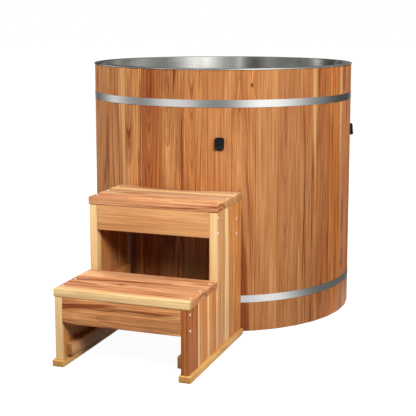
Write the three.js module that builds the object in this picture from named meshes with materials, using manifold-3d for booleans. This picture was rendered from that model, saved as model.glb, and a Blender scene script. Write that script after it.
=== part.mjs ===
// Cold plunge tub: cedar staves held by two steel bands around a steel liner, with latches for
// a cover, a drain tap behind, and a free-standing flight of two cedar treads in front.
// Millimetres, +Z up. The origin is on the tub's axis at floor level, and the treads face -Y.
// An azimuth is measured from -Y towards +X, in degrees.
import * as THREE from "three";
import { mergeVertices } from "three/addons/utils/BufferGeometryUtils.js";
import Module from "manifold-3d";

const wasm = await Module();
wasm.setup();

// Driving dimensions: fits
const FIT = 0.3; // gap between pieces that touch
const TURNING_FIT = 0.4; // radial gap around a piece that turns

// Driving dimensions: tub wall and floor
const STAVE_FACE_RADIUS = 498.5; // tub axis to the flat outer face of a stave
const STAVE_COUNT = 37;
const STAVE_THICKNESS = 27;
const STAVE_EASE = 2; // eased arris along each joint
const FIRST_STAVE_AZIMUTH = 17.7;
const STAVE_FOOT = 2; // stave ends stay clear of the ground
const TUB_HEIGHT = 940; // ground to the top of the rim
const CROZE_DEPTH = 9; // groove in the staves that holds the floor's edge
const DECK_THICKNESS = 27;
const JOIST_HEIGHT = 38;
const JOIST_WIDTH = 38;
const JOIST_SPACING = 270;
const JOIST_END_GAP = 4;

// Driving dimensions: liner
const LINER_SHEET = 1.5;
const LINER_CORNER = 6; // outer radius where its floor turns up
const RIM_LIP_HEIGHT = 4;
const RIM_FOLD = 1.2; // eased corner of the rim

// Driving dimensions: bands
const BAND_WIDTH = 26;
const BAND_SHEET = 1.5;
const UPPER_BAND_HEIGHT = 818.5; // ground to the middle of the band
const LOWER_BAND_HEIGHT = 121;
const BAND_CLOSURE_AZIMUTH = 222;
const BAND_CLOSURE_GAP = 18;
const BAND_EAR_LENGTH = 26;
const BAND_EAR_THICKNESS = 3;
const BAND_BOLT_RADIUS = 4;
const BAND_BOLT_HEAD_RADIUS = 7.5; // across the corners of the hexagon
const BAND_BOLT_HEAD_LENGTH = 5.5;
const BAND_BOLT_END = 6; // thread past the nut

// Driving dimensions: cover latches
const LATCH_COUNT = 4;
const LATCH_HEIGHT = 679; // ground to the middle of a latch
const LATCH_WIDTH = 33;
const LATCH_LENGTH = 43.5;
const LATCH_TOP_DEPTH = 11;
const LATCH_FOOT_DEPTH = 13.5;
const LATCH_CORNER = 7;
const LATCH_TOP_EASE = 1.6; // how far the front slopes back at its top edge
const LATCH_FOOT_EASE = 3.5; // the same at its foot
const LATCH_EASE_LENGTH = 6; // height of both slopes
const LATCH_BACK_WALL = 2.2;
const LATCH_SLOT_WIDTH = 21;
const LATCH_SLOT_DEPTH = 6.4;
const LATCH_SLOT_LENGTH = 25;
const LATCH_NOTCH_WIDTH = 6;
const LATCH_NOTCH_LENGTH = 8;
const LOCK_RADIUS = 5;
const LOCK_DROP = 12; // below the middle of the latch
const LOCK_LENGTH = 8;
const LOCK_PROUD = 0.8;
const LOCK_KEYWAY_WIDTH = 1.4;
const LOCK_KEYWAY_LENGTH = 6.5;
const LOCK_KEYWAY_DEPTH = 2.5;

// Driving dimensions: drain tap
const DRAIN_STAVE = 17; // stave that the tap is centred on
const DRAIN_HEIGHT = 90;
const DRAIN_BORE_RADIUS = 8;
const DRAIN_TAIL_RADIUS = 12;
const DRAIN_TAIL_INSIDE = 14; // thread that stands inside the liner
const DRAIN_NUT_RADIUS = 17; // across the corners of the hexagon
const DRAIN_NUT_THICKNESS = 8;
const DRAIN_SHOULDER_RADIUS = 16;
const DRAIN_SHOULDER_LENGTH = 8;
const DRAIN_BARREL_RADIUS = 13;
const DRAIN_REACH = 86; // stave face to the hose end
const DRAIN_PLUG_REACH = 42; // stave face to the plug's axis
const DRAIN_PLUG_RADIUS = 10.5;
const DRAIN_HOUSING_RADIUS = 14.5;
const DRAIN_HOUSING_HEIGHT = 34;
const DRAIN_PLUG_PROUD = 3; // plug past each end of its housing
const DRAIN_LEVER_LENGTH = 62;
const DRAIN_LEVER_WIDTH = 12;
const DRAIN_LEVER_THICKNESS = 5;

// Driving dimensions: steps
const STEP_STANDOFF = 488.1; // stave face to the front of the lower tread
const BOARD_WIDTH = 86.3;
const BOARD_THICKNESS = 26.5;
const BOARD_EASE = 2.5;
const BOARDS_PER_TREAD = 3;
const TREAD_LENGTH = 466;
const TREAD_END_OVERHANG = 3;
const TREAD_NOSING = 1.5; // tread past the boards below it
const LOWER_TREAD_TOP = 258.5;
const UPPER_TREAD_TOP = 512;
const SCRIBE_GAP = 5; // between the scribed tread board and the staves
const PANEL_GROOVE = 1.6; // V groove at each joint of the side boards
const RUNNER_WIDTH = 41;
const RUNNER_HEIGHT = 22;
const RUNNER_OUTSIDE = 9; // runner past the side boards
const RUNNER_AHEAD = 5; // runner past the front of the lower tread
const CLEAT_THICKNESS = 22;
const CLEAT_HEIGHT = 39;
const CLEAT_BACK = 33; // end of the cleats to the back of the side boards
const LOW_CLEAT_LIFT = 10; // runner to the lowest cleats
const STRETCHER_BACK = 40; // stretcher to the back of the side boards

// Colours and finishes
const CEDAR_TONES = [0xc98a56, 0x9a5b3a, 0xd59b62, 0x8d4f34, 0xbd7d4b, 0xc48a5e];
const RUNNER_COLOR = 0xd8a860;
const JOIST_COLOR = 0xb98d5c;
const STEEL_COLOR = 0xb9b9b5;
const LATCH_COLOR = 0x18181a;
const BRASS_COLOR = 0xb08d4a;

function cedar(tone) {
  return new THREE.MeshStandardMaterial({
    color: CEDAR_TONES[tone % CEDAR_TONES.length],
    roughness: 0.6,
    metalness: 0,
  });
}

function plainWood(color) {
  return new THREE.MeshStandardMaterial({ color, roughness: 0.65, metalness: 0 });
}

function metal(color) {
  return new THREE.MeshStandardMaterial({ color, roughness: 0.35, metalness: 1 });
}

function blackPlastic() {
  return new THREE.MeshStandardMaterial({ color: LATCH_COLOR, roughness: 0.45, metalness: 0 });
}

// Derived places on the tub
const STAVE_PITCH = 360 / STAVE_COUNT;
const HALF_PITCH = THREE.MathUtils.degToRad(STAVE_PITCH / 2);
const STAVE_INNER_RADIUS = STAVE_FACE_RADIUS - STAVE_THICKNESS;
const STAVE_HALF_FACE = STAVE_FACE_RADIUS * Math.tan(HALF_PITCH) - STAVE_EASE;
const STAVE_OUTERMOST = Math.hypot(STAVE_FACE_RADIUS, STAVE_HALF_FACE);
const ROUND_SEGMENTS = 2 * STAVE_COUNT;
const ROUND_FLAT = Math.cos(Math.PI / ROUND_SEGMENTS); // flat over corner radius of a round
const DECK_BOTTOM = JOIST_HEIGHT + FIT;
const DECK_TOP = DECK_BOTTOM + DECK_THICKNESS;
const LINER_RADIUS = STAVE_INNER_RADIUS - FIT;
const LINER_BOTTOM = DECK_TOP + FIT;
const STAVE_TOP = TUB_HEIGHT - LINER_SHEET - FIT;
const LIP_RADIUS = (STAVE_OUTERMOST + FIT) / ROUND_FLAT;
const BAND_RADIUS = (STAVE_OUTERMOST + FIT) / ROUND_FLAT;

function staveAzimuth(index) {
  return FIRST_STAVE_AZIMUTH + index * STAVE_PITCH;
}

// A plan point at a distance out from the tub axis and along the tangent, seen from one azimuth.
function planPoint(azimuth, out, along = 0) {
  const turn = THREE.MathUtils.degToRad(azimuth);
  return new THREE.Vector2(
    out * Math.sin(turn) + along * Math.cos(turn),
    -out * Math.cos(turn) + along * Math.sin(turn),
  );
}

// Geometry helpers
function extrude(outline, depth) {
  return new THREE.ExtrudeGeometry(new THREE.Shape(outline), {
    depth,
    bevelEnabled: false,
    curveSegments: 4,
  });
}

function extrudeUp(outline, bottom, top) {
  return extrude(outline, top - bottom).translate(0, 0, bottom);
}

// A closed profile of [radius, height] points, listed outside upwards, turned about +Z.
function turned(profile, segments, startAzimuth = 0) {
  const points = profile.map(([radius, height]) => new THREE.Vector2(radius, height));
  const start = THREE.MathUtils.degToRad(startAzimuth);
  return new THREE.LatheGeometry(points, segments, start).rotateX(Math.PI / 2);
}

// A round or polygonal bar from one height to another about +Z.
function upright(radius, bottom, top, segments, startAzimuth = 0) {
  const start = THREE.MathUtils.degToRad(startAzimuth);
  return new THREE.CylinderGeometry(radius, radius, top - bottom, segments, 1, false, start)
    .rotateX(Math.PI / 2)
    .translate(0, 0, (bottom + top) / 2);
}

// The same bar lying along -Y, from one distance out to another, at a height.
function lyingOut(radius, from, to, height, segments) {
  return upright(radius, from, to, segments)
    .rotateX(Math.PI / 2)
    .translate(0, 0, height);
}

function block(low, high) {
  const box = new THREE.Box3(new THREE.Vector3(...low), new THREE.Vector3(...high));
  const size = box.getSize(new THREE.Vector3());
  const middle = box.getCenter(new THREE.Vector3());
  return new THREE.BoxGeometry(...size).translate(...middle);
}

function roundedRectangle(width, height, radius) {
  const x = width / 2;
  const y = height / 2;
  const shape = new THREE.Shape();
  shape.absarc(x - radius, y - radius, radius, 0, Math.PI / 2);
  shape.absarc(radius - x, y - radius, radius, Math.PI / 2, Math.PI);
  shape.absarc(radius - x, radius - y, radius, Math.PI, 1.5 * Math.PI);
  shape.absarc(x - radius, radius - y, radius, 1.5 * Math.PI, 2 * Math.PI);
  return shape;
}

// A board between two corners with its four long edges eased; along is 0, 1 or 2 for X, Y or Z.
const BOARD_TURNS = [
  new THREE.Matrix4().makeBasis(
    new THREE.Vector3(0, 1, 0),
    new THREE.Vector3(0, 0, 1),
    new THREE.Vector3(1, 0, 0),
  ),
  new THREE.Matrix4().makeBasis(
    new THREE.Vector3(0, 0, 1),
    new THREE.Vector3(1, 0, 0),
    new THREE.Vector3(0, 1, 0),
  ),
];

function board(low, high, along) {
  const size = high.map((value, axis) => value - low[axis]);
  const middle = high.map((value, axis) => (value + low[axis]) / 2);
  const across = (along + 1) % 3;
  const up = (along + 2) % 3;
  const section = roundedRectangle(size[across], size[up], BOARD_EASE);
  const options = { depth: size[along], bevelEnabled: false, curveSegments: 2 };
  return new THREE.ExtrudeGeometry(section, options)
    .translate(0, 0, -size[along] / 2)
    .applyMatrix4(BOARD_TURNS[along])
    .translate(...middle);
}

// Joining and cutting
function solidOf(geometry) {
  const bare = geometry.clone();
  bare.deleteAttribute("normal");
  bare.deleteAttribute("uv");
  const merged = mergeVertices(bare, 1e-4);
  const mesh = new wasm.Mesh({
    numProp: 3,
    vertProperties: Float32Array.from(merged.attributes.position.array),
    triVerts: Uint32Array.from(merged.index.array),
  });
  return new wasm.Manifold(mesh);
}

function geometryOf(solid) {
  const mesh = solid.getMesh();
  const geometry = new THREE.BufferGeometry();
  geometry.setAttribute("position", new THREE.BufferAttribute(mesh.vertProperties, 3));
  geometry.setIndex(new THREE.BufferAttribute(mesh.triVerts, 1));
  return geometry;
}

function cut(geometry, cutters) {
  const left = cutters.reduce((solid, cutter) => solid.subtract(solidOf(cutter)), solidOf(geometry));
  return geometryOf(left);
}

function join(geometries) {
  const [first, ...others] = geometries.map(solidOf);
  return geometryOf(others.reduce((solid, other) => solid.add(other), first));
}

function common(first, second) {
  return geometryOf(solidOf(first).intersect(solidOf(second)));
}

function addPiece(parent, name, geometry, material) {
  const mesh = new THREE.Mesh(geometry, material);
  mesh.name = name;
  parent.add(mesh);
}

function twoDigits(number) {
  return String(number).padStart(2, "0");
}

// A group whose own -Y points out of the tub at an azimuth.
function groupAt(azimuth) {
  const group = new THREE.Group();
  group.rotation.z = THREE.MathUtils.degToRad(azimuth);
  return group;
}

const tub = new THREE.Group();
const steps = new THREE.Group();
const plunge = new THREE.Group();
plunge.add(tub, steps);

// Staves: flat coopered boards, joined two by two, with a groove for the floor's edge
function staveOutline(first, count) {
  const outside = [];
  const inside = [];
  for (let index = first; index < first + count; index += 1) {
    const azimuth = staveAzimuth(index);
    const startGap = index === first ? FIT / 2 : 0;
    const endGap = index === first + count - 1 ? FIT / 2 : 0;
    const side = (radius, gap) => radius * Math.tan(HALF_PITCH) - gap / Math.cos(HALF_PITCH);
    const shoulder = STAVE_FACE_RADIUS - STAVE_EASE;
    if (index === first) {
      outside.push(planPoint(azimuth, shoulder, -side(shoulder, startGap)));
      inside.push(planPoint(azimuth, STAVE_INNER_RADIUS, -side(STAVE_INNER_RADIUS, startGap)));
    }
    outside.push(planPoint(azimuth, STAVE_FACE_RADIUS, -STAVE_HALF_FACE));
    outside.push(planPoint(azimuth, STAVE_FACE_RADIUS, STAVE_HALF_FACE));
    outside.push(planPoint(azimuth, shoulder, side(shoulder, endGap)));
    inside.push(planPoint(azimuth, STAVE_INNER_RADIUS, side(STAVE_INNER_RADIUS, endGap)));
  }
  return [...outside, ...inside.reverse()];
}

// A regular polygon with one flat to each stave, as the floor and its groove are.
function staveSidedDisc(flatRadius, bottom, top) {
  const firstJoint = FIRST_STAVE_AZIMUTH + STAVE_PITCH / 2;
  return upright(flatRadius / Math.cos(HALF_PITCH), bottom, top, STAVE_COUNT, firstJoint);
}

const DRAIN_AZIMUTH = staveAzimuth(DRAIN_STAVE);

function drainHole() {
  const inside = LINER_RADIUS - DRAIN_TAIL_INSIDE - DRAIN_NUT_THICKNESS;
  const outside = STAVE_FACE_RADIUS + DRAIN_REACH;
  return lyingOut(DRAIN_TAIL_RADIUS + FIT, inside, outside, DRAIN_HEIGHT, 24)
    .rotateZ(THREE.MathUtils.degToRad(DRAIN_AZIMUTH));
}

function addStaves() {
  const croze = staveSidedDisc(STAVE_INNER_RADIUS + CROZE_DEPTH, DECK_BOTTOM - FIT, LINER_BOTTOM);
  for (let first = 0; first < STAVE_COUNT; first += 2) {
    const count = Math.min(2, STAVE_COUNT - first);
    const blank = extrudeUp(staveOutline(first, count), STAVE_FOOT, STAVE_TOP);
    const pair = twoDigits(first / 2 + 1);
    const name = count === 2 ? `stave_pair_${pair}` : "closing_stave";
    addPiece(tub, name, cut(blank, [croze, drainHole()]), cedar(first / 2));
  }
}

// Floor: a boarded deck with its edge in the staves, on three joists
function addFloor() {
  const deckRadius = STAVE_INNER_RADIUS + CROZE_DEPTH - FIT;
  addPiece(tub, "floor_deck", staveSidedDisc(deckRadius, DECK_BOTTOM, DECK_TOP), cedar(0));
  const names = ["front_joist", "middle_joist", "rear_joist"];
  names.forEach((name, index) => {
    const y = (index - 1) * JOIST_SPACING;
    const corner = Math.abs(y) + JOIST_WIDTH / 2;
    const end = Math.sqrt((STAVE_INNER_RADIUS - JOIST_END_GAP) ** 2 - corner ** 2);
    const low = [-end, y - JOIST_WIDTH / 2, 0];
    const high = [end, y + JOIST_WIDTH / 2, JOIST_HEIGHT];
    addPiece(tub, name, board(low, high, 0), plainWood(JOIST_COLOR));
  });
}

// Liner: a sheet cup whose rim folds out over the stave ends and down outside them
function linerProfile() {
  const inner = LINER_RADIUS - LINER_SHEET;
  const floorTop = LINER_BOTTOM + LINER_SHEET;
  const lipOuter = LIP_RADIUS + LINER_SHEET;
  const slant = LINER_CORNER * (1 - Math.SQRT1_2);
  const innerCorner = LINER_CORNER - LINER_SHEET;
  const innerSlant = innerCorner * (1 - Math.SQRT1_2);
  return [
    [0, LINER_BOTTOM],
    [LINER_RADIUS - LINER_CORNER, LINER_BOTTOM],
    [LINER_RADIUS - slant, LINER_BOTTOM + slant],
    [LINER_RADIUS, LINER_BOTTOM + LINER_CORNER],
    [LINER_RADIUS, TUB_HEIGHT - LINER_SHEET],
    [LIP_RADIUS, TUB_HEIGHT - LINER_SHEET],
    [LIP_RADIUS, TUB_HEIGHT - RIM_LIP_HEIGHT],
    [lipOuter, TUB_HEIGHT - RIM_LIP_HEIGHT],
    [lipOuter, TUB_HEIGHT - RIM_FOLD],
    [lipOuter - RIM_FOLD, TUB_HEIGHT],
    [inner + RIM_FOLD, TUB_HEIGHT],
    [inner, TUB_HEIGHT - RIM_FOLD],
    [inner, floorTop + innerCorner],
    [inner - innerSlant, floorTop + innerSlant],
    [inner - innerCorner, floorTop],
    [0, floorTop],
  ];
}

function addLiner() {
  const cup = turned(linerProfile(), ROUND_SEGMENTS, FIRST_STAVE_AZIMUTH);
  addPiece(tub, "liner", cut(cup, [drainHole()]), metal(STEEL_COLOR));
}

// Bands: flat hoops whose turned-out ears are drawn together by a bolt behind the tub
const BAND_BOLT_OUT = BAND_RADIUS + BAND_SHEET + BAND_EAR_LENGTH / 2;

function bandOutline() {
  const outer = BAND_RADIUS + BAND_SHEET;
  const earEnd = outer + BAND_EAR_LENGTH;
  const halfGap = THREE.MathUtils.radToDeg(BAND_CLOSURE_GAP / 2 / BAND_RADIUS);
  const ear = THREE.MathUtils.radToDeg(BAND_EAR_THICKNESS / BAND_RADIUS);
  const start = BAND_CLOSURE_AZIMUTH + halfGap;
  const sweep = 360 - 2 * halfGap;
  const outside = [];
  const inside = [];
  for (let step = 0; step <= ROUND_SEGMENTS; step += 1) {
    const share = step / ROUND_SEGMENTS;
    outside.push(planPoint(start + ear + share * (sweep - 2 * ear), outer));
    inside.push(planPoint(start + share * sweep, BAND_RADIUS));
  }
  return [
    planPoint(start, earEnd),
    planPoint(start + ear, earEnd),
    ...outside,
    planPoint(start + sweep - ear, earEnd),
    planPoint(start + sweep, earEnd),
    ...inside.reverse(),
  ];
}

// A bar across the band's ears at a height, from one side to the other along +X, unturned.
function acrossEars(radius, from, to, height, segments) {
  return upright(radius, from, to, segments)
    .rotateY(Math.PI / 2)
    .translate(0, -BAND_BOLT_OUT, height);
}

function bandBolt(height) {
  const face = BAND_CLOSURE_GAP / 2 + BAND_EAR_THICKNESS + FIT * 2;
  const head = face + BAND_BOLT_HEAD_LENGTH;
  return join([
    acrossEars(BAND_BOLT_RADIUS, -head + FIT, head + BAND_BOLT_END, height, 12),
    acrossEars(BAND_BOLT_HEAD_RADIUS, -head, -face, height, 6),
    acrossEars(BAND_BOLT_HEAD_RADIUS, face, head, height, 6),
  ]);
}

function addBand(name, height) {
  const strip = extrudeUp(bandOutline(), height - BAND_WIDTH / 2, height + BAND_WIDTH / 2);
  const reach = BAND_CLOSURE_GAP + 2 * BAND_EAR_THICKNESS;
  const hole = acrossEars(BAND_BOLT_RADIUS + FIT, -reach, reach, height, 12)
    .rotateZ(THREE.MathUtils.degToRad(BAND_CLOSURE_AZIMUTH));
  addPiece(tub, name, cut(strip, [hole]), metal(STEEL_COLOR));
  const closure = groupAt(BAND_CLOSURE_AZIMUTH);
  addPiece(closure, `${name}_bolt`, bandBolt(height), metal(STEEL_COLOR));
  tub.add(closure);
}

// Cover latches: a socket open at its top for a strap's clip, with a keyed lock below the slot
const LATCH_BACK = STAVE_FACE_RADIUS + FIT; // tub axis to a latch's back
const LOCK_HEIGHT = LATCH_HEIGHT - LOCK_DROP;

// Depth of the sloping front of a latch at a height.
function latchDepth(height) {
  const share = (height - LATCH_HEIGHT) / LATCH_LENGTH + 0.5;
  return THREE.MathUtils.lerp(LATCH_FOOT_DEPTH, LATCH_TOP_DEPTH, share);
}

const LOCK_FRONT = LATCH_BACK + latchDepth(LOCK_HEIGHT) + LOCK_PROUD;

function latchBody() {
  const foot = LATCH_HEIGHT - LATCH_LENGTH / 2;
  const top = LATCH_HEIGHT + LATCH_LENGTH / 2;
  const face = new THREE.ExtrudeGeometry(
    roundedRectangle(LATCH_WIDTH, LATCH_LENGTH, LATCH_CORNER),
    { depth: LATCH_FOOT_DEPTH, bevelEnabled: false, curveSegments: 3 },
  );
  face.rotateX(Math.PI / 2).translate(0, -LATCH_BACK, LATCH_HEIGHT);
  const easeBelow = top - LATCH_EASE_LENGTH;
  const easeAbove = foot + LATCH_EASE_LENGTH;
  const wedge = extrude(
    [
      new THREE.Vector2(-LATCH_BACK, foot - FIT),
      new THREE.Vector2(-LATCH_BACK, top + FIT),
      new THREE.Vector2(LATCH_TOP_EASE - LATCH_BACK - LATCH_TOP_DEPTH, top + FIT),
      new THREE.Vector2(-LATCH_BACK - latchDepth(easeBelow), easeBelow),
      new THREE.Vector2(-LATCH_BACK - latchDepth(easeAbove), easeAbove),
      new THREE.Vector2(LATCH_FOOT_EASE - LATCH_BACK - LATCH_FOOT_DEPTH, foot - FIT),
    ],
    LATCH_WIDTH + 2 * FIT,
  );
  wedge.translate(0, 0, -LATCH_WIDTH / 2 - FIT).applyMatrix4(BOARD_TURNS[0]);
  const slotBack = LATCH_BACK + LATCH_BACK_WALL;
  const slotFront = slotBack + LATCH_SLOT_DEPTH;
  const slot = block(
    [-LATCH_SLOT_WIDTH / 2, -slotFront, top - LATCH_SLOT_LENGTH],
    [LATCH_SLOT_WIDTH / 2, -slotBack, top + FIT],
  );
  const notch = block(
    [-LATCH_NOTCH_WIDTH / 2, -LATCH_BACK - LATCH_FOOT_DEPTH, top - LATCH_NOTCH_LENGTH],
    [LATCH_NOTCH_WIDTH / 2, -slotFront + FIT, top + FIT],
  );
  const lockRadius = LOCK_RADIUS + TURNING_FIT;
  const lockEnd = LOCK_FRONT - LOCK_LENGTH - FIT;
  const lockBore = lyingOut(lockRadius, lockEnd, LOCK_FRONT + FIT, LOCK_HEIGHT, 24);
  return cut(common(face, wedge), [slot, notch, lockBore]);
}

function latchLock() {
  const barrel = lyingOut(LOCK_RADIUS, LOCK_FRONT - LOCK_LENGTH, LOCK_FRONT, LOCK_HEIGHT, 24);
  const keyway = block(
    [-LOCK_KEYWAY_WIDTH / 2, -LOCK_FRONT - FIT, LOCK_HEIGHT - LOCK_KEYWAY_LENGTH / 2],
    [LOCK_KEYWAY_WIDTH / 2, LOCK_KEYWAY_DEPTH - LOCK_FRONT, LOCK_HEIGHT + LOCK_KEYWAY_LENGTH / 2],
  );
  return cut(barrel, [keyway]);
}

function addLatches() {
  for (let index = 0; index < LATCH_COUNT; index += 1) {
    const stave = Math.floor((index * STAVE_COUNT) / LATCH_COUNT);
    const place = groupAt(staveAzimuth(stave));
    addPiece(place, `cover_latch_${index + 1}`, latchBody(), blackPlastic());
    addPiece(place, `latch_lock_${index + 1}`, latchLock(), metal(STEEL_COLOR));
    tub.add(place);
  }
}

// Drain tap: a tail through staves and liner with a nut inside, and a plug cock with a lever
const DRAIN_PLUG_OUT = STAVE_FACE_RADIUS + DRAIN_PLUG_REACH;
const DRAIN_HOUSING_BOTTOM = DRAIN_HEIGHT - DRAIN_HOUSING_HEIGHT / 2;
const DRAIN_HOUSING_TOP = DRAIN_HEIGHT + DRAIN_HOUSING_HEIGHT / 2;
// A nut's flat face meets the round liner at its corners.
const LINER_INNER_RADIUS = (LINER_RADIUS - LINER_SHEET) * ROUND_FLAT;
const DRAIN_NUT_OUT = Math.sqrt(LINER_INNER_RADIUS ** 2 - DRAIN_NUT_RADIUS ** 2) - FIT;

function drainTap() {
  const tailEnd = LINER_INNER_RADIUS - DRAIN_TAIL_INSIDE;
  const seat = STAVE_FACE_RADIUS + FIT;
  const hoseEnd = STAVE_FACE_RADIUS + DRAIN_REACH;
  const housing = upright(DRAIN_HOUSING_RADIUS, DRAIN_HOUSING_BOTTOM, DRAIN_HOUSING_TOP, 24);
  const plugBore = upright(
    DRAIN_PLUG_RADIUS + TURNING_FIT,
    DRAIN_HOUSING_BOTTOM - FIT,
    DRAIN_HOUSING_TOP + FIT,
    24,
  );
  const casting = join([
    lyingOut(DRAIN_TAIL_RADIUS, tailEnd, seat + FIT, DRAIN_HEIGHT, 24),
    lyingOut(DRAIN_SHOULDER_RADIUS, seat, seat + DRAIN_SHOULDER_LENGTH, DRAIN_HEIGHT, 6),
    lyingOut(DRAIN_BARREL_RADIUS, seat + FIT, hoseEnd, DRAIN_HEIGHT, 24),
    housing.translate(0, -DRAIN_PLUG_OUT, 0),
  ]);
  const bore = lyingOut(DRAIN_BORE_RADIUS, tailEnd - FIT, hoseEnd + FIT, DRAIN_HEIGHT, 16);
  return cut(casting, [bore, plugBore.translate(0, -DRAIN_PLUG_OUT, 0)]);
}

function drainNut() {
  const inside = DRAIN_NUT_OUT - DRAIN_NUT_THICKNESS;
  const hexagon = lyingOut(DRAIN_NUT_RADIUS, inside, DRAIN_NUT_OUT, DRAIN_HEIGHT, 6);
  const thread = lyingOut(
    DRAIN_TAIL_RADIUS + FIT,
    inside - FIT,
    DRAIN_NUT_OUT + FIT,
    DRAIN_HEIGHT,
    24,
  );
  return cut(hexagon, [thread]);
}

// Closed at rest: the lever stands across the pipe, and so does the plug's own hole.
function drainPlug() {
  const bottom = DRAIN_HOUSING_BOTTOM - DRAIN_PLUG_PROUD;
  const top = DRAIN_HOUSING_TOP + DRAIN_PLUG_PROUD;
  const barrel = upright(DRAIN_PLUG_RADIUS, bottom, top + FIT, 24);
  const crossHole = upright(DRAIN_BORE_RADIUS, -DRAIN_PLUG_OUT, DRAIN_PLUG_OUT, 16)
    .rotateY(Math.PI / 2)
    .translate(0, 0, DRAIN_HEIGHT);
  const lever = extrudeUp(
    [
      new THREE.Vector2(-DRAIN_PLUG_RADIUS, -DRAIN_PLUG_RADIUS),
      new THREE.Vector2(DRAIN_PLUG_RADIUS, -DRAIN_PLUG_RADIUS),
      new THREE.Vector2(2 * DRAIN_PLUG_RADIUS, -DRAIN_LEVER_WIDTH / 2),
      new THREE.Vector2(DRAIN_LEVER_LENGTH, -DRAIN_LEVER_WIDTH / 2),
      new THREE.Vector2(DRAIN_LEVER_LENGTH, DRAIN_LEVER_WIDTH / 2),
      new THREE.Vector2(2 * DRAIN_PLUG_RADIUS, DRAIN_LEVER_WIDTH / 2),
      new THREE.Vector2(DRAIN_PLUG_RADIUS, DRAIN_PLUG_RADIUS),
      new THREE.Vector2(-DRAIN_PLUG_RADIUS, DRAIN_PLUG_RADIUS),
    ],
    top,
    top + DRAIN_LEVER_THICKNESS,
  );
  return join([cut(barrel, [crossHole]), lever]).translate(0, -DRAIN_PLUG_OUT, 0);
}

function addDrain() {
  const place = groupAt(DRAIN_AZIMUTH);
  addPiece(place, "drain_tap", drainTap(), metal(BRASS_COLOR));
  addPiece(place, "drain_nut", drainNut(), metal(BRASS_COLOR));
  addPiece(place, "drain_lever", drainPlug(), metal(BRASS_COLOR));
  tub.add(place);
}

// Derived places on the steps, as distances back from the front of the lower tread
const TREAD_DEPTH = BOARDS_PER_TREAD * BOARD_WIDTH + (BOARDS_PER_TREAD - 1) * FIT;
const UPPER_TREAD_FRONT = TREAD_DEPTH + FIT;
const SHORT_SIDE_FRONT = TREAD_NOSING;
const TALL_SIDE_FRONT = UPPER_TREAD_FRONT + TREAD_NOSING;
const STEP_BACK = UPPER_TREAD_FRONT + TREAD_DEPTH;
const SIDE_OUTER = TREAD_LENGTH / 2 - TREAD_END_OVERHANG;
const SIDE_INNER = SIDE_OUTER - BOARD_THICKNESS;
const SIDE_BOTTOM = RUNNER_HEIGHT + FIT;
const UNDER_LOWER_TREAD = LOWER_TREAD_TOP - BOARD_THICKNESS - FIT;
const UNDER_UPPER_TREAD = UPPER_TREAD_TOP - BOARD_THICKNESS - FIT;

function stepY(back) {
  return back - STEP_STANDOFF - STAVE_FACE_RADIUS;
}

// Treads: three boards each, the last one scribed round the tub
function addTread(name, front, top, scribe) {
  for (let index = 0; index < BOARDS_PER_TREAD; index += 1) {
    const start = front + index * (BOARD_WIDTH + FIT);
    const low = [-TREAD_LENGTH / 2, stepY(start), top - BOARD_THICKNESS];
    const high = [TREAD_LENGTH / 2, stepY(start + BOARD_WIDTH), top];
    const plank = board(low, high, 0);
    const planed = scribe ? cut(plank, [scribe]) : plank;
    addPiece(steps, `${name}_board_${index + 1}`, planed, cedar(index + 2));
  }
}

function scribedRound() {
  const bottom = UPPER_TREAD_TOP - 2 * BOARD_THICKNESS;
  const top = UPPER_TREAD_TOP + BOARD_THICKNESS;
  const radius = STAVE_OUTERMOST + SCRIBE_GAP;
  return upright(radius, bottom, top, ROUND_SEGMENTS);
}

// Side boards: vertical, grooved at their joints, three short and three tall on each side
function sideOutline(side, front, back) {
  const outline = [new THREE.Vector2(SIDE_INNER, front), new THREE.Vector2(SIDE_OUTER, front)];
  const pitch = (back - front) / BOARDS_PER_TREAD;
  const inside = [];
  for (let joint = 1; joint < BOARDS_PER_TREAD; joint += 1) {
    const y = front + joint * pitch;
    outline.push(new THREE.Vector2(SIDE_OUTER, y - PANEL_GROOVE));
    outline.push(new THREE.Vector2(SIDE_OUTER - PANEL_GROOVE, y));
    outline.push(new THREE.Vector2(SIDE_OUTER, y + PANEL_GROOVE));
    inside.unshift(
      new THREE.Vector2(SIDE_INNER, y + PANEL_GROOVE),
      new THREE.Vector2(SIDE_INNER + PANEL_GROOVE, y),
      new THREE.Vector2(SIDE_INNER, y - PANEL_GROOVE),
    );
  }
  outline.push(new THREE.Vector2(SIDE_OUTER, back), new THREE.Vector2(SIDE_INNER, back), ...inside);
  return outline.map((point) => new THREE.Vector2(side * point.x, point.y));
}

function addSide(label, side) {
  const short = sideOutline(side, stepY(SHORT_SIDE_FRONT), stepY(TALL_SIDE_FRONT - FIT));
  const tall = sideOutline(side, stepY(TALL_SIDE_FRONT), stepY(STEP_BACK));
  const shortBoards = extrudeUp(short, SIDE_BOTTOM, UNDER_LOWER_TREAD);
  const tallBoards = extrudeUp(tall, SIDE_BOTTOM, UNDER_UPPER_TREAD);
  addPiece(steps, `${label}_short_side`, shortBoards, cedar(1));
  addPiece(steps, `${label}_tall_side`, tallBoards, cedar(4));
}

// A board along the steps on one side, between two distances from the middle plane.
function sideRail(side, inner, outer, front, back, bottom, top) {
  const left = Math.min(side * inner, side * outer);
  const right = Math.max(side * inner, side * outer);
  return board([left, stepY(front), bottom], [right, stepY(back), top], 1);
}

function addRunner(label, side) {
  const outer = SIDE_OUTER + RUNNER_OUTSIDE;
  const inner = outer - RUNNER_WIDTH;
  const rail = sideRail(side, inner, outer, -RUNNER_AHEAD, STEP_BACK, 0, RUNNER_HEIGHT);
  addPiece(steps, `${label}_runner`, rail, plainWood(RUNNER_COLOR));
}

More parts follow.
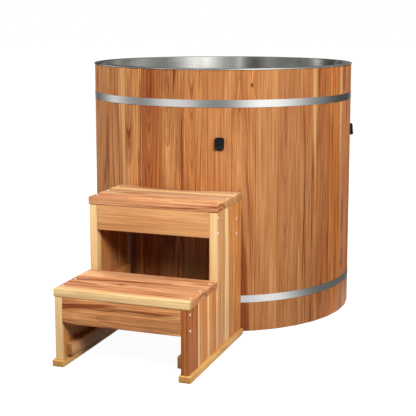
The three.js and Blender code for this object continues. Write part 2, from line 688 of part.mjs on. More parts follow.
// Cleats: three on the inside of each side, the upper two level with a tread's underside
function addCleats(label, side) {
  const outer = SIDE_INNER - FIT;
  const inner = outer - CLEAT_THICKNESS;
  const back = STEP_BACK - CLEAT_BACK;
  const behindLowerApron = SHORT_SIDE_FRONT + BOARD_THICKNESS + FIT;
  const behindUpperApron = TALL_SIDE_FRONT + BOARD_THICKNESS + FIT;
  const lowTop = SIDE_BOTTOM + LOW_CLEAT_LIFT + CLEAT_HEIGHT;
  const rows = [
    ["low", behindLowerApron, lowTop],
    ["middle", behindLowerApron, UNDER_LOWER_TREAD],
    ["top", behindUpperApron, UNDER_UPPER_TREAD],
  ];
  rows.forEach(([row, front, top]) => {
    const rail = sideRail(side, inner, outer, front, back, top - CLEAT_HEIGHT, top);
    addPiece(steps, `${label}_${row}_cleat`, rail, cedar(2));
  });
}

// Cross boards between the sides: an apron under the front of each tread, and a stretcher behind
function addCrossBoard(name, front, top, tone) {
  const end = SIDE_INNER - FIT;
  const low = [-end, stepY(front), top - BOARD_WIDTH];
  const high = [end, stepY(front + BOARD_THICKNESS), top];
  addPiece(steps, name, board(low, high, 0), cedar(tone));
}

addStaves();
addFloor();
addLiner();
addBand("upper_band", UPPER_BAND_HEIGHT);
addBand("lower_band", LOWER_BAND_HEIGHT);
addLatches();
addDrain();
addTread("lower_tread", 0, LOWER_TREAD_TOP);
addTread("upper_tread", UPPER_TREAD_FRONT, UPPER_TREAD_TOP, scribedRound());
[
  ["left", -1],
  ["right", 1],
].forEach(([label, side]) => {
  addSide(label, side);
  addRunner(label, side);
  addCleats(label, side);
});
addCrossBoard("lower_apron", SHORT_SIDE_FRONT, UNDER_LOWER_TREAD, 3);
addCrossBoard("upper_apron", TALL_SIDE_FRONT, UNDER_UPPER_TREAD, 0);
addCrossBoard(
  "rear_stretcher",
  STEP_BACK - STRETCHER_BACK - BOARD_THICKNESS,
  UNDER_UPPER_TREAD - CLEAT_HEIGHT - FIT,
  1,
);

export default plunge;
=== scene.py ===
# %% [markdown]
# # A cedar cold plunge tub and its step
# The real tub is coopered like a barrel: 37 upright cedar staves stand in a ring, two steel bands draw
# them tight, and a cup of thin stainless sheet lines the inside. A step of the same cedar, with two
# treads, stands in front. The sizes and the joints are already fixed in a measured frame, so this
# lesson gives each piece of that frame its finished shape and surface.

# %% Load the measured frame
import math
import random

import bmesh
import bpy
from mathutils import Color, Matrix, Vector


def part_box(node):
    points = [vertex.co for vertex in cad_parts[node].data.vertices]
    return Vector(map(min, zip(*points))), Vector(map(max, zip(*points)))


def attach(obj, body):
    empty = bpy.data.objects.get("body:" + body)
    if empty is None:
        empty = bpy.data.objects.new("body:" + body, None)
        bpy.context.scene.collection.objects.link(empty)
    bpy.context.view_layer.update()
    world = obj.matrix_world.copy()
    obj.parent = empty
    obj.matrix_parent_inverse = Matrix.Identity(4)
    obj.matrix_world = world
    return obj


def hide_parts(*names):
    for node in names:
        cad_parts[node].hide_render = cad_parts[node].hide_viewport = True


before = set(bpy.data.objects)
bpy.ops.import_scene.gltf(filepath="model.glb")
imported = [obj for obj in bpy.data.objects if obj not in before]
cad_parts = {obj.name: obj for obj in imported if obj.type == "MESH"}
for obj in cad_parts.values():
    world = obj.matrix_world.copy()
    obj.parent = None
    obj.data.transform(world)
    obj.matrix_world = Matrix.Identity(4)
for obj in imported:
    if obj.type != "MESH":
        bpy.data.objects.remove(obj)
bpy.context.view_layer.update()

scene = bpy.context.scene
scene.view_settings.view_transform = "Standard"

# %% [markdown]
# ## The camera
# The picture to match was taken from the right of the step, a little above the rim, with a long lens.
# A camera could be placed by eye, but the ring of staves gives good points to measure by: this place,
# turn and focal length put the rim, the bands and the step where they lie in the picture. The lens looks
# down by only eight degrees, and a small shift lowers the frame the rest of the way, which keeps the
# staves nearly upright.

# %% Place the camera
SENSOR_WIDTH = 36.0
FOCAL_LENGTH = 87.55
FRAME_SHIFT = -0.12
CAMERA_PLACE = (1.3, -3.774, 1.132)
CAMERA_TILT = 81.8  # 90 looks level
CAMERA_TURN = 19.85
lens = bpy.data.cameras.new("picture_camera")
lens.sensor_width = SENSOR_WIDTH
lens.lens = FOCAL_LENGTH
lens.shift_y = FRAME_SHIFT
camera = bpy.data.objects.new("picture_camera", lens)
camera.location = CAMERA_PLACE
camera.rotation_euler = (math.radians(CAMERA_TILT), 0.0, math.radians(CAMERA_TURN))
scene.collection.objects.link(camera)
scene.camera = camera
print("camera at", [round(value, 2) for value in camera.location])

# %% [markdown]
# ## Nodes in a few words
# Every finish below is a small net of shader nodes. Making each node by hand takes four or five lines,
# so these helpers add a node, feed its sockets with either a number or another node's output, and hand
# back the output. A shader net then reads like a formula.

# %% Helpers for shader nodes
MIX_COLOUR_INPUTS = (0, 6, 7)
MIX_COLOUR_OUTPUT = 2


def add_node(tree, kind, **settings):
    node = tree.nodes.new("ShaderNode" + kind)
    for setting, value in settings.items():
        setattr(node, setting, value)
    return node


def feed(tree, socket, value):
    if isinstance(value, bpy.types.NodeSocket):
        tree.links.new(value, socket)
    else:
        socket.default_value = value


def calc(tree, operation, first, second=0.0):
    node = add_node(tree, "Math", operation=operation)
    feed(tree, node.inputs[0], first)
    feed(tree, node.inputs[1], second)
    return node.outputs[0]


def times(tree, first, second):
    return calc(tree, "MULTIPLY", first, second)


def vector_calc(tree, operation, first, second=(0.0, 0.0, 0.0)):
    node = add_node(tree, "VectorMath", operation=operation)
    feed(tree, node.inputs[0], first)
    feed(tree, node.inputs[1], second)
    return node.outputs["Value"] if operation == "LENGTH" else node.outputs["Vector"]


def stretch(tree, vector, amounts):
    return vector_calc(tree, "MULTIPLY", vector, amounts)


def ease_between(tree, value, low, high, start=0.0, end=1.0):
    node = add_node(tree, "MapRange", interpolation_type="SMOOTHSTEP")
    for place, number in enumerate((value, low, high, start, end)):
        feed(tree, node.inputs[place], number)
    return node.outputs[0]


def noise(tree, vector, scale=1.0, detail=2.0, grit=0.5, colour=False):
    node = add_node(tree, "TexNoise")
    feed(tree, node.inputs["Vector"], vector)
    node.inputs["Scale"].default_value = scale
    node.inputs["Detail"].default_value = detail
    node.inputs["Roughness"].default_value = grit
    return node.outputs["Color" if colour else "Fac"]


def mix_colour(tree, share, first, second, blend="MIX"):
    """A Mix node keeps its colour sockets behind those for numbers and vectors."""
    node = add_node(tree, "Mix", data_type="RGBA", blend_type=blend)
    for place, value in zip(MIX_COLOUR_INPUTS, (share, first, second)):
        feed(tree, node.inputs[place], value)
    return node.outputs[MIX_COLOUR_OUTPUT]


def tint(tree, colour, amounts):
    return mix_colour(tree, 1.0, colour, amounts, "MULTIPLY")


def add_bump(tree, shader, height, strength, depth):
    bump = add_node(tree, "Bump")
    bump.inputs["Strength"].default_value = strength
    bump.inputs["Distance"].default_value = depth
    feed(tree, bump.inputs["Height"], height)
    feed(tree, shader.inputs["Normal"], bump.outputs[0])


def new_finish(name):
    material = bpy.data.materials.new(name)
    material.use_nodes = True
    return material, material.node_tree, material.node_tree.nodes["Principled BSDF"]


print("shader helpers ready")

# %% [markdown]
# ## A white studio
# The tub stands on white with hardly a shadow. The world lights it only faintly from all round, but
# rays that come straight from the camera, or bounce off metal, see plain white. The floor works the
# same way: it is a matt grey with a white glow that only those same rays see. Near the tub the glow
# stops a little short of white, so the shade under the step still shows. Further out it rises to full
# white, and floor and world meet without a line.

# %% World and floor
WHITE = (1.0, 1.0, 1.0, 1.0)
SKY_LIGHT = 0.06
FLOOR_GREY = (0.22, 0.22, 0.22, 1.0)
FLOOR_GLOW = 0.96
FLOOR_GLOW_RISE = (1.0, 4.0)
FLOOR_HALF_SIZE = 30.0


def white_to_the_eye(tree):
    """1 for rays from the camera or off shiny and clear surfaces, 0 for the rays that light the object."""
    rays = add_node(tree, "LightPath").outputs
    shiny = calc(tree, "MAXIMUM", rays["Is Glossy Ray"], rays["Is Transmission Ray"])
    return calc(tree, "MAXIMUM", rays["Is Camera Ray"], shiny)


def show(bm, name, finish):
    """Turn a finished bmesh into an object of the scene."""
    mesh = bpy.data.meshes.new(name)
    bm.to_mesh(mesh)
    bm.free()
    mesh.materials.append(finish)
    shown = bpy.data.objects.new(name, mesh)
    scene.collection.objects.link(shown)
    return shown


world = bpy.data.worlds.new("white_studio")
world.use_nodes = True
scene.world = world
sky = world.node_tree
background = sky.nodes["Background"]
background.inputs["Color"].default_value = WHITE
sky_strength = ease_between(sky, white_to_the_eye(sky), 0.0, 1.0, SKY_LIGHT, 1.0)
feed(sky, background.inputs["Strength"], sky_strength)

floor_white, floor_tree, floor_shader = new_finish("floor_white")
floor_shader.inputs["Base Color"].default_value = FLOOR_GREY
floor_shader.inputs["Roughness"].default_value = 1.0
floor_shader.inputs["Specular IOR Level"].default_value = 0.0
floor_shader.inputs["Emission Color"].default_value = WHITE
floor_place = add_node(floor_tree, "TexCoord").outputs["Object"]
from_tub = vector_calc(floor_tree, "LENGTH", floor_place)
floor_level = ease_between(floor_tree, from_tub, *FLOOR_GLOW_RISE, FLOOR_GLOW, 1.0)
glow = times(floor_tree, white_to_the_eye(floor_tree), floor_level)
feed(floor_tree, floor_shader.inputs["Emission Strength"], glow)

floor_bm = bmesh.new()
bmesh.ops.create_grid(floor_bm, x_segments=1, y_segments=1, size=FLOOR_HALF_SIZE)
studio_floor = show(floor_bm, "studio_floor", floor_white)
print("studio floor", 2 * FLOOR_HALF_SIZE, "m wide")

# %% [markdown]
# ## Soft lamps
# Five wide lamps do the shaping. The smallest stands in front, to the right of the camera, and gives the
# treads their soft shade. One more on the right and a strong one on the left fill that shade, and two
# behind light the back of the tub. Polished steel would mirror each lamp as a hard white square, so the
# lamps are hidden from reflections. The screens of the next step give the steel its brightness instead.

# %% Lamps
def around(azimuth, radius, height):
    """A point round the tub's axis; the azimuth turns from the front to the right, in degrees."""
    turn = math.radians(azimuth)
    return Vector((radius * math.sin(turn), -radius * math.cos(turn), height))


LAMP_DISTANCE = 3.5
LAMP_TARGET = Vector((0.0, -0.25, 0.45))
# Azimuth in degrees, height and width in metres, and power in watts.
LAMPS = {
    "key_lamp": (40, 2.2, 0.9, 116.0),
    "right_lamp": (84, 2.6, 1.6, 48.0),
    "left_lamp": (-40, 2.8, 1.6, 120.0),
    "right_back_lamp": (150, 2.6, 1.6, 75.0),
    "left_back_lamp": (244, 2.6, 1.6, 75.0),
}
for lamp_name, (azimuth, height, width, power) in LAMPS.items():
    lamp = bpy.data.lights.new(lamp_name, "AREA")
    lamp.shape = "SQUARE"
    lamp.size = width
    lamp.energy = power
    holder = bpy.data.objects.new(lamp_name, lamp)
    holder.location = around(azimuth, LAMP_DISTANCE, height)
    holder.rotation_euler = (LAMP_TARGET - holder.location).to_track_quat("-Z", "Y").to_euler()
    holder.visible_glossy = False
    scene.collection.objects.link(holder)
print("lamps:", ", ".join(LAMPS))

# %% [markdown]
# ## Screens for the steel
# Polished metal shows whatever stands round it. In an all-white room the bands would be plain white
# stripes, so a photographer stands light and dark screens just outside the picture. Here three rings do
# that: a low one for the bands, a high one that the liner sees over its rim, and a flat one on the floor
# for the lower band. Each has a grey for some azimuths, counted from the camera, and blends in between;
# 1 is white, and more than that is a light. Only reflections see them: they throw no shadow, and the
# camera looks straight through.

# %% Greys of the screens
LOW_SCREEN = {
    -180: 1.0, -160: 0.8, -148: 0.3, -136: 0.16, -128: 0.2, -112: 0.55, -100: 1.2, -90: 0.85, -80: 0.5,
    -70: 0.38, -58: 0.45, -50: 1.05, -40: 1.3, -27: 1.1, -18: 0.5, -10: 0.34, 3: 0.34, 10: 0.65, 18: 1.25,
    28: 1.75, 42: 1.6, 58: 1.05, 68: 0.65, 78: 0.4, 90: 0.24, 100: 0.14, 112: 0.09, 136: 0.1, 148: 0.3,
    160: 0.8, 180: 1.0,
}
HIGH_SCREEN = {
    -180: 0.05, -166: 0.05, -150: 0.02, -135: 0.1, -128: 0.25, -119: 1.3, -110: 0.3, -90: 0.12,
    -67: 0.25, -53: 0.45, -45: 0.2, -38: 0.1, -30: 0.2, -24: 0.4, -19: 1.25, -14: 0.5, -1: 0.75, 5: 1.1,
    12: 1.5, 18: 2.2, 25: 1.6, 31: 2.0, 38: 1.75, 45: 1.15, 51: 0.85, 58: 0.6, 65: 0.38, 80: 0.43, 97: 0.65,
    110: 0.45, 120: 0.25, 130: 0.35, 141: 0.6, 150: 0.3, 160: 0.15, 168: 0.05, 180: 0.05,
}
FLOOR_SCREEN = {
    -180: 0.9, -155: 0.7, -135: 0.15, -90: 0.4, -45: 0.9, 14: 0.95, 25: 1.3, 37: 1.25, 43: 0.85, 50: 0.5,
    58: 0.28, 64: 0.2, 72: 0.18, 100: 0.17, 135: 0.15, 155: 0.7, 180: 0.9,
}
ROUNDING_SLACK = 0.001


def grey_at(greys, azimuth):
    """The grey at an azimuth, on a straight line between the two nearest entries."""
    known = sorted(greys)
    after = next(entry for entry in known[1:] if entry >= azimuth - ROUNDING_SLACK)
    before = known[known.index(after) - 1]
    share = (azimuth - before) / (after - before)
    return greys[before] + share * (greys[after] - greys[before])


print("grey straight ahead:", grey_at(LOW_SCREEN, 0), "low and", round(grey_at(HIGH_SCREEN, 0), 2), "high")

# %% Reflection screens
BLACK = (0.0, 0.0, 0.0, 1.0)
SCREEN_STEPS = 180
CAMERA_AZIMUTH = 19.3
SCREEN_RADIUS = 2.2
SCREEN_FOOT = 0.004
SCREEN_WAIST = 1.0
SCREEN_HEAD = 3.5
FLOOR_SCREEN_HEIGHT = 0.002
FLOOR_SCREEN_RADII = (0.62, 2.19)


def stored(tree, name):
    """Outputs that read what the points of a mesh have stored under a name."""
    return add_node(tree, "Attribute", attribute_name=name).outputs


def reflection_screen(name, near, far, greys):
    """Spin an edge full circle; near and far are its two ends, as radius and height."""
    bm = bmesh.new()
    grey = bm.verts.layers.float.new("grey")
    ends = [bm.verts.new(around(0, *end)) for end in (near, far)]
    edge = bm.edges.new(ends)
    bmesh.ops.spin(
        bm, geom=ends + [edge], cent=(0, 0, 0), axis=(0, 0, 1), dvec=(0, 0, 0),
        angle=math.tau, steps=SCREEN_STEPS, use_merge=True,
    )
    for point in bm.verts:
        azimuth = math.degrees(math.atan2(point.co.x, -point.co.y)) - CAMERA_AZIMUTH
        point[grey] = grey_at(greys, (azimuth + 180.0) % 360.0 - 180.0)
    finish, tree, shader = new_finish(name + "_glow")
    shader.inputs["Base Color"].default_value = BLACK
    shader.inputs["Specular IOR Level"].default_value = 0.0
    shader.inputs["Emission Color"].default_value = WHITE
    feed(tree, shader.inputs["Emission Strength"], stored(tree, "grey")["Fac"])
    screen = show(bm, name, finish)
    screen.visible_camera = False
    screen.visible_diffuse = False
    screen.visible_transmission = False
    screen.visible_shadow = False


waist = (SCREEN_RADIUS, SCREEN_WAIST)
inner_rim, outer_rim = [(radius, FLOOR_SCREEN_HEIGHT) for radius in FLOOR_SCREEN_RADII]
reflection_screen("low_screen", (SCREEN_RADIUS, SCREEN_FOOT), waist, LOW_SCREEN)
reflection_screen("high_screen", waist, (SCREEN_RADIUS, SCREEN_HEAD), HIGH_SCREEN)
reflection_screen("floor_screen", inner_rim, outer_rim, FLOOR_SCREEN)
print("3 screens for the reflections")

# %% [markdown]
# ## Cedar: the rings
# What makes a board look like wood is the growth rings of its log, cut by the saw at different angles.
# Lines could be painted on each face, but they wouldn't meet at the edges. So the finish works out how
# far each point lies from the heart of its log and draws rings by that distance, through the whole
# board. A flat cut then gives arches, a cut through the heart gives straight lines, and the board ends
# show arcs. Each board carries its place in its log, and some more facts, as attributes of its points.

# %% Rings of the log
BOARD_FACTS = ("rings", "arris", "sap_radius", "core_radius", "streaks")
LOG_TAPER = 0.02
ACROSS_THE_LOG = (1.0, 1.0, 0.0)
WANDER_STRETCH = (8.0, 8.0, 1.6)
WANDER_REACH = (0.02, 0.02, 0.0)
KNOT_OVAL = (1.0, 0.5, 0.0)
KNOT_BEND = (0.045, 0.004)  # from where the rings start to bend to where they bend most
KNOT_SWELL = 0.008
LATE_WOOD_CURVE = 2.2


def split(tree, vector):
    node = add_node(tree, "SeparateXYZ")
    feed(tree, node.inputs[0], vector)
    return node.outputs


def log_rings(tree):
    """Sockets for the facts of a board, for where a point lies in its log, and for the rings there."""
    wood = {fact: stored(tree, fact)["Fac"] for fact in BOARD_FACTS}
    wood["grain"] = stored(tree, "grain")["Vector"]
    wood["along"] = split(tree, wood["grain"])[2]

    # A log is never quite straight, so its rings wander along the board.
    slow = noise(tree, stretch(tree, wood["grain"], WANDER_STRETCH), colour=True)
    centred = vector_calc(tree, "SUBTRACT", slow, (0.5, 0.5, 0.5))
    bent = vector_calc(tree, "ADD", wood["grain"], stretch(tree, centred, WANDER_REACH))
    from_heart = vector_calc(tree, "LENGTH", stretch(tree, bent, ACROSS_THE_LOG))

    # Rings part round a knot, which swells them outwards.
    knot = stored(tree, "knot")["Vector"]
    wood["knot_strength"] = split(tree, knot)[2]
    wood["from_knot"] = vector_calc(tree, "LENGTH", stretch(tree, knot, KNOT_OVAL))
    near_knot = ease_between(tree, wood["from_knot"], *KNOT_BEND)
    swell = times(tree, times(tree, near_knot, wood["knot_strength"]), KNOT_SWELL)
    taper = times(tree, wood["along"], LOG_TAPER)
    wood["ring_place"] = calc(tree, "SUBTRACT", calc(tree, "ADD", from_heart, swell), taper)

    # Wood darkens towards the end of each year, and more in some years than in others.
    wood["ring_number"] = times(tree, wood["ring_place"], wood["rings"])
    season = calc(tree, "POWER", calc(tree, "FRACT", wood["ring_number"]), LATE_WOOD_CURVE)
    year = add_node(tree, "TexWhiteNoise", noise_dimensions="1D")
    feed(tree, year.inputs["W"], calc(tree, "FLOOR", wood["ring_number"]))
    wood["late_wood"] = times(tree, season, year.outputs["Value"])
    return wood


print("a board stores grain, knot, heart,", ", ".join(BOARD_FACTS))

# %% [markdown]
# ## Cedar: streaks and fibres
# Some years grow darker wood than others, which shows as streaks that follow the rings and fade along
# the board. Streaks could be painted as bands, but a noise over ring number and length gives them at
# once: it changes from ring to ring, and slowly along the board. The core of the log is darkest, and
# its edge is an arch where the saw meets it. Fibres are a finer noise, some eighty times longer than
# wide, and soft clouds make patches.

# %% Streaks, core, fibres and clouds
BROAD_STREAK = (0.2, 1.6, 1.0)
THIN_STREAK = (0.55, 2.6, 1.0)
BROAD_SHARE = 0.3
PALE_RANGE = (0.50, 0.37)  # from no pale streak to a full one
PALE_AT_LEAST = 0.25
DARK_RANGE = (0.53, 0.62)  # the same for a dark streak
CORE_FADE = 0.004
CORE_AND_SHADE_SHARE = 0.95
FIBRE_STRETCH = (250.0, 250.0, 3.0)
CLOUD_STRETCH = (22.0, 22.0, 3.0)


def add_streaks(tree, wood):
    """Add the shares of pale and dark wood, the fibres and the clouds to what is known of the wood."""
    ring_map = add_node(tree, "CombineXYZ")
    feed(tree, ring_map.inputs[0], wood["ring_number"])
    feed(tree, ring_map.inputs[1], wood["along"])
    broad = noise(tree, stretch(tree, ring_map.outputs[0], BROAD_STREAK), detail=1.0)
    thin = noise(tree, stretch(tree, ring_map.outputs[0], THIN_STREAK), detail=3.0, grit=0.65)
    tone = calc(tree, "ADD", times(tree, broad, BROAD_SHARE), times(tree, thin, 1.0 - BROAD_SHARE))
    pale_share = calc(tree, "ADD", wood["streaks"], PALE_AT_LEAST)
    wood["pale"] = times(tree, ease_between(tree, tone, *PALE_RANGE), pale_share)
    dark_streak = times(tree, ease_between(tree, tone, *DARK_RANGE), wood["streaks"])
    inside_core = calc(tree, "SUBTRACT", wood["core_radius"], wood["ring_place"])
    # On the stave beside the step the dark core also stands in for painted shade, where the step shades the
    # tub.
    dark_core_and_shade = times(tree, ease_between(tree, inside_core, 0.0, CORE_FADE), CORE_AND_SHADE_SHARE)
    wood["dark"] = calc(tree, "MAXIMUM", dark_streak, dark_core_and_shade)
    wood["fibre"] = noise(tree, stretch(tree, wood["grain"], FIBRE_STRETCH), detail=4.0, grit=0.75)
    wood["cloud"] = noise(tree, stretch(tree, wood["grain"], CLOUD_STRETCH), detail=3.0)


print("fibres are", round(FIBRE_STRETCH[0] / FIBRE_STRETCH[2]), "times longer than wide")

# %% [markdown]
# ## Cedar: the colour
# Cedar boards differ a great deal: honey, orange, russet and brown boards stand side by side, some with
# a pale strip of sapwood along an edge. One picture of wood on every board would look like a print, so
# the colour is built in layers, each over the one before: the tone of the heartwood, its pale and dark
# streaks, the sapwood, the lines of the rings, the fibres, and soft red and pale patches.

# %% Colour of the wood
def paint(red, green, blue):
    """A colour as a paint program shows it, from 0 to 255, in the linear numbers that shaders use."""
    linear = Color((red / 255, green / 255, blue / 255)).from_srgb_to_scene_linear()
    return (linear.r, linear.g, linear.b, 1.0)


PALE_WOOD = (1.24, 1.36, 1.36, 1.0)
DARK_WOOD = (0.5, 0.29, 0.2, 1.0)
SAPWOOD = paint(222, 187, 133)
SAP_WAVER = 0.004
SAP_FADE = 0.003
RING_LINE = (0.57, 0.38, 0.29, 1.0)
LINE_SHARES = (0.85, 0.25)  # in heartwood and in sapwood
FIBRE_SHARE = 0.2
FIBRE_RANGE = (0.3, 0.7)
PALE_FIBRE = 0.75
SAPWOOD_FIBRE = 0.5
CLOUD_RANGE = (0.36, 0.64)
RED_PATCH = (0.94, 0.86, 0.8, 1.0)
PALE_PATCH = (1.06, 1.07, 1.08, 1.0)


def wood_colour(tree, wood):
    """The colour of clear wood, before any knot or tool marks."""
    heart = stored(tree, "heart")["Color"]
    colour = mix_colour(tree, wood["pale"], heart, tint(tree, heart, PALE_WOOD))
    colour = mix_colour(tree, wood["dark"], colour, tint(tree, heart, DARK_WOOD))
    sap_edge = calc(tree, "ADD", wood["ring_place"], times(tree, wood["cloud"], SAP_WAVER))
    past_edge = calc(tree, "SUBTRACT", sap_edge, wood["sap_radius"])
    sapwood = ease_between(tree, past_edge, 0.0, SAP_FADE)
    colour = mix_colour(tree, sapwood, colour, SAPWOOD)
    line_share = ease_between(tree, sapwood, 0.0, 1.0, *LINE_SHARES)
    line = times(tree, wood["late_wood"], line_share)
    colour = mix_colour(tree, line, colour, tint(tree, colour, RING_LINE))

    # Fibres show most in streaky boards, and half as much in sapwood.
    fibre_share = times(tree, calc(tree, "ADD", wood["streaks"], 1.0), FIBRE_SHARE)
    fibre_share = times(tree, fibre_share, ease_between(tree, sapwood, 0.0, 1.0, 1.0, SAPWOOD_FIBRE))
    darkest = calc(tree, "SUBTRACT", 1.0, fibre_share)
    palest = calc(tree, "ADD", 1.0, times(tree, fibre_share, PALE_FIBRE))
    colour = stretch(tree, colour, ease_between(tree, wood["fibre"], *FIBRE_RANGE, darkest, palest))
    patches = mix_colour(tree, ease_between(tree, wood["cloud"], *CLOUD_RANGE), RED_PATCH, PALE_PATCH)
    return stretch(tree, colour, patches)


print("sapwood in linear numbers:", [round(value, 2) for value in SAPWOOD[:3]])

# %% [markdown]
# ## Cedar: knots, edges and ends
# Knots, tools and oil leave their marks last, and painted light with them. A knot has a brown middle.
# The edges of a board are painted paler, partly as real sanding and partly as a painted highlight where
# the arris catches the light. The joints between staves get painted shade, for the shade in their
# grooves. End grain soaks up more oil and goes darker. The arris attribute serves both edges and joints:
# above zero a point gets the sanded, painted highlight, below zero it lies at a joint and gets painted
# shade.

# %% The cedar finish
KNOT_BROWN = paint(92, 46, 24)
KNOT_RADII = (0.006, 0.0015)
# Painted highlight and sanding: the pale colour of a lit, sanded arris.
SANDED_AND_LIT = paint(232, 184, 122)
# Painted shade of the grooves between staves.
JOINT_SHADE_BROWN = paint(96, 50, 28)
END_WOOD = (0.74, 0.62, 0.52, 1.0)
CEDAR_GLOSS = 0.15
FIBRE_ROUGHNESS = (-0.06, 0.1)
RING_HEIGHT = 0.4
CEDAR_BUMP = 0.25
CEDAR_BUMP_DEPTH = 0.0006


def worked_colour(tree, wood, colour, sanding_and_highlight):
    """The colour with its knot, sanded edges with a painted highlight, painted shade in the joints, and end
    grain; the last argument is how pale the edges are painted.
    """
    knot = times(tree, ease_between(tree, wood["from_knot"], *KNOT_RADII), wood["knot_strength"])
    colour = mix_colour(tree, knot, colour, KNOT_BROWN)
    # Painted highlight: arris points are painted paler, as sanding and as the light an eased edge catches.
    sanded_and_lit = times(tree, calc(tree, "MAXIMUM", wood["arris"], 0.0), sanding_and_highlight)
    colour = mix_colour(tree, sanded_and_lit, colour, SANDED_AND_LIT)
    # Painted shade: points in a stave joint are darkened for the shade in its groove.
    in_joint_shade = calc(tree, "MAXIMUM", times(tree, wood["arris"], -1.0), 0.0)
    colour = mix_colour(tree, in_joint_shade, colour, JOINT_SHADE_BROWN)
    on_end = stored(tree, "heart")["Alpha"]
    return mix_colour(tree, on_end, colour, tint(tree, colour, END_WOOD))


def cedar_finish(name, roughness, sanding_and_highlight):
    material, tree, shader = new_finish(name)
    wood = log_rings(tree)
    add_streaks(tree, wood)
    colour = worked_colour(tree, wood, wood_colour(tree, wood), sanding_and_highlight)
    feed(tree, shader.inputs["Base Color"], colour)
    smoothest, roughest = [roughness + change for change in FIBRE_ROUGHNESS]
    fibre_roughness = ease_between(tree, wood["fibre"], *FIBRE_RANGE, smoothest, roughest)
    feed(tree, shader.inputs["Roughness"], fibre_roughness)
    shader.inputs["Specular IOR Level"].default_value = CEDAR_GLOSS
    height = calc(tree, "ADD", wood["fibre"], times(tree, wood["late_wood"], RING_HEIGHT))
    add_bump(tree, shader, height, CEDAR_BUMP, CEDAR_BUMP_DEPTH)
    return material


# The last number is how strongly the arrises are painted paler, by sanding and painted highlight.
stave_cedar = cedar_finish("stave_cedar_oiled", roughness=0.44, sanding_and_highlight=0.6)
step_cedar = cedar_finish("step_cedar_sanded", roughness=0.52, sanding_and_highlight=0.2)
print("cedar finishes:", stave_cedar.name, step_cedar.name)

# %% [markdown]
# ## How a board is described
# A board's look is a few words and numbers: its tone, how it was cut from the log, how streaky it is,
# and whether it has sapwood along an edge, a knot, or a dark arch from the core. The cut only says where
# the heart of the log lies from the middle of the board, and how close the rings are. Each board could
# have its own set of shader numbers, but words are easier to check against the picture.

# %% Tones, cuts and looks
TONES = {
    "pale": paint(212, 161, 110),
    "honey": paint(208, 153, 101),
    "golden": paint(213, 169, 102),
    "pink": paint(205, 147, 105),
    "blond": paint(204, 160, 118),
    "orange": paint(203, 136, 76),
    "tan": paint(194, 141, 94),
    "brown": paint(187, 127, 79),
    "russet": paint(179, 116, 70),
    # Umber is partly painted shade: its one board stands under the overhang of the lower tread.
    "umber_darkened_for_shade": paint(164, 96, 48),
}
# From the board's middle to the heart of the log, across and through the board, and rings to a metre.
CUTS = {
    "flat": (0.012, 0.038, 520.0),
    "rift": (0.085, 0.075, 265.0),
    "straight": (0.24, 0.02, 225.0),
    "slab": (0.02, 0.06, 220.0),
}


def look(tone, cut, sap=0.0, knot=None, streaks=0.5, core=None, flip=False, joint=0.1):
    """sap is the width of a pale strip, at the far edge when positive and the near edge when negative;
    knot is a place on the board, across and along from its middle; core is the height, from the board's
    middle, of the tip of a dark arch; flip turns the tips upwards; the joint number is how much painted
    shade darkens the gaps beside a stave."""
    return {
        "tone": tone, "cut": cut, "sap": sap, "knot": knot, "streaks": streaks, "core": core, "flip": flip,
        "joint": joint,
    }


print(len(TONES), "cedar tones,", len(CUTS), "ways to cut a board")

# %% [markdown]
# ## From words to points
# The finish reads its facts from the points of a mesh, so the words for a board have to be stored there.
# A seeded random generator moves the heart of each log a little, so no two boards repeat and every run
# is the same. A point is on an arris where every face round it is small, and it shows end grain where it
# lies at an end of the board.

# %% The grain of a board
NO_SAPWOOD = 9.0
NO_CORE = -9.0
NO_KNOT = (1.0, 1.0)
ACROSS_SPREAD = (0.8, 1.25)
THROUGH_SPREAD = (0.85, 1.2)
PLACE_ALONG_LOG = (1.0, 9.0)
RING_SPREAD = (0.85, 1.2)
ARRIS_SHARE = 0.06
END_DEPTH = 0.0002
chance = random.Random(37)


def cedar_mesh():
    bm = bmesh.new()
    for name in ("grain", "knot"):
        bm.verts.layers.float_vector.new(name)
    for name in BOARD_FACTS:
        bm.verts.layers.float.new(name)
    bm.verts.layers.float_color.new("heart")
    return bm


def cut_from_log(board_look, half):
    """The board's middle, counted from the heart of its log, and the facts that hold for all its points."""
    side = -1 if board_look["sap"] < 0 else 1
    across_heart, through_heart, rings = CUTS[board_look["cut"]]
    from_heart = Vector((
        side * across_heart * chance.uniform(*ACROSS_SPREAD),
        through_heart * chance.uniform(*THROUGH_SPREAD),
        chance.uniform(*PLACE_ALONG_LOG),
    ))
    taper = LOG_TAPER * from_heart.z
    facts = {
        "rings": rings * chance.uniform(*RING_SPREAD),
        "sap_radius": NO_SAPWOOD,
        "core_radius": NO_CORE,
        "streaks": board_look["streaks"],
    }
    if board_look["sap"]:
        outer = abs(from_heart.x) + half.x - abs(board_look["sap"])
        facts["sap_radius"] = math.hypot(outer, from_heart.y) - taper
    if board_look["core"] is not None:
        tip = -board_look["core"] if board_look["flip"] else board_look["core"]
        facts["core_radius"] = from_heart.y + half.y - LOG_TAPER * tip - taper
    return from_heart, facts


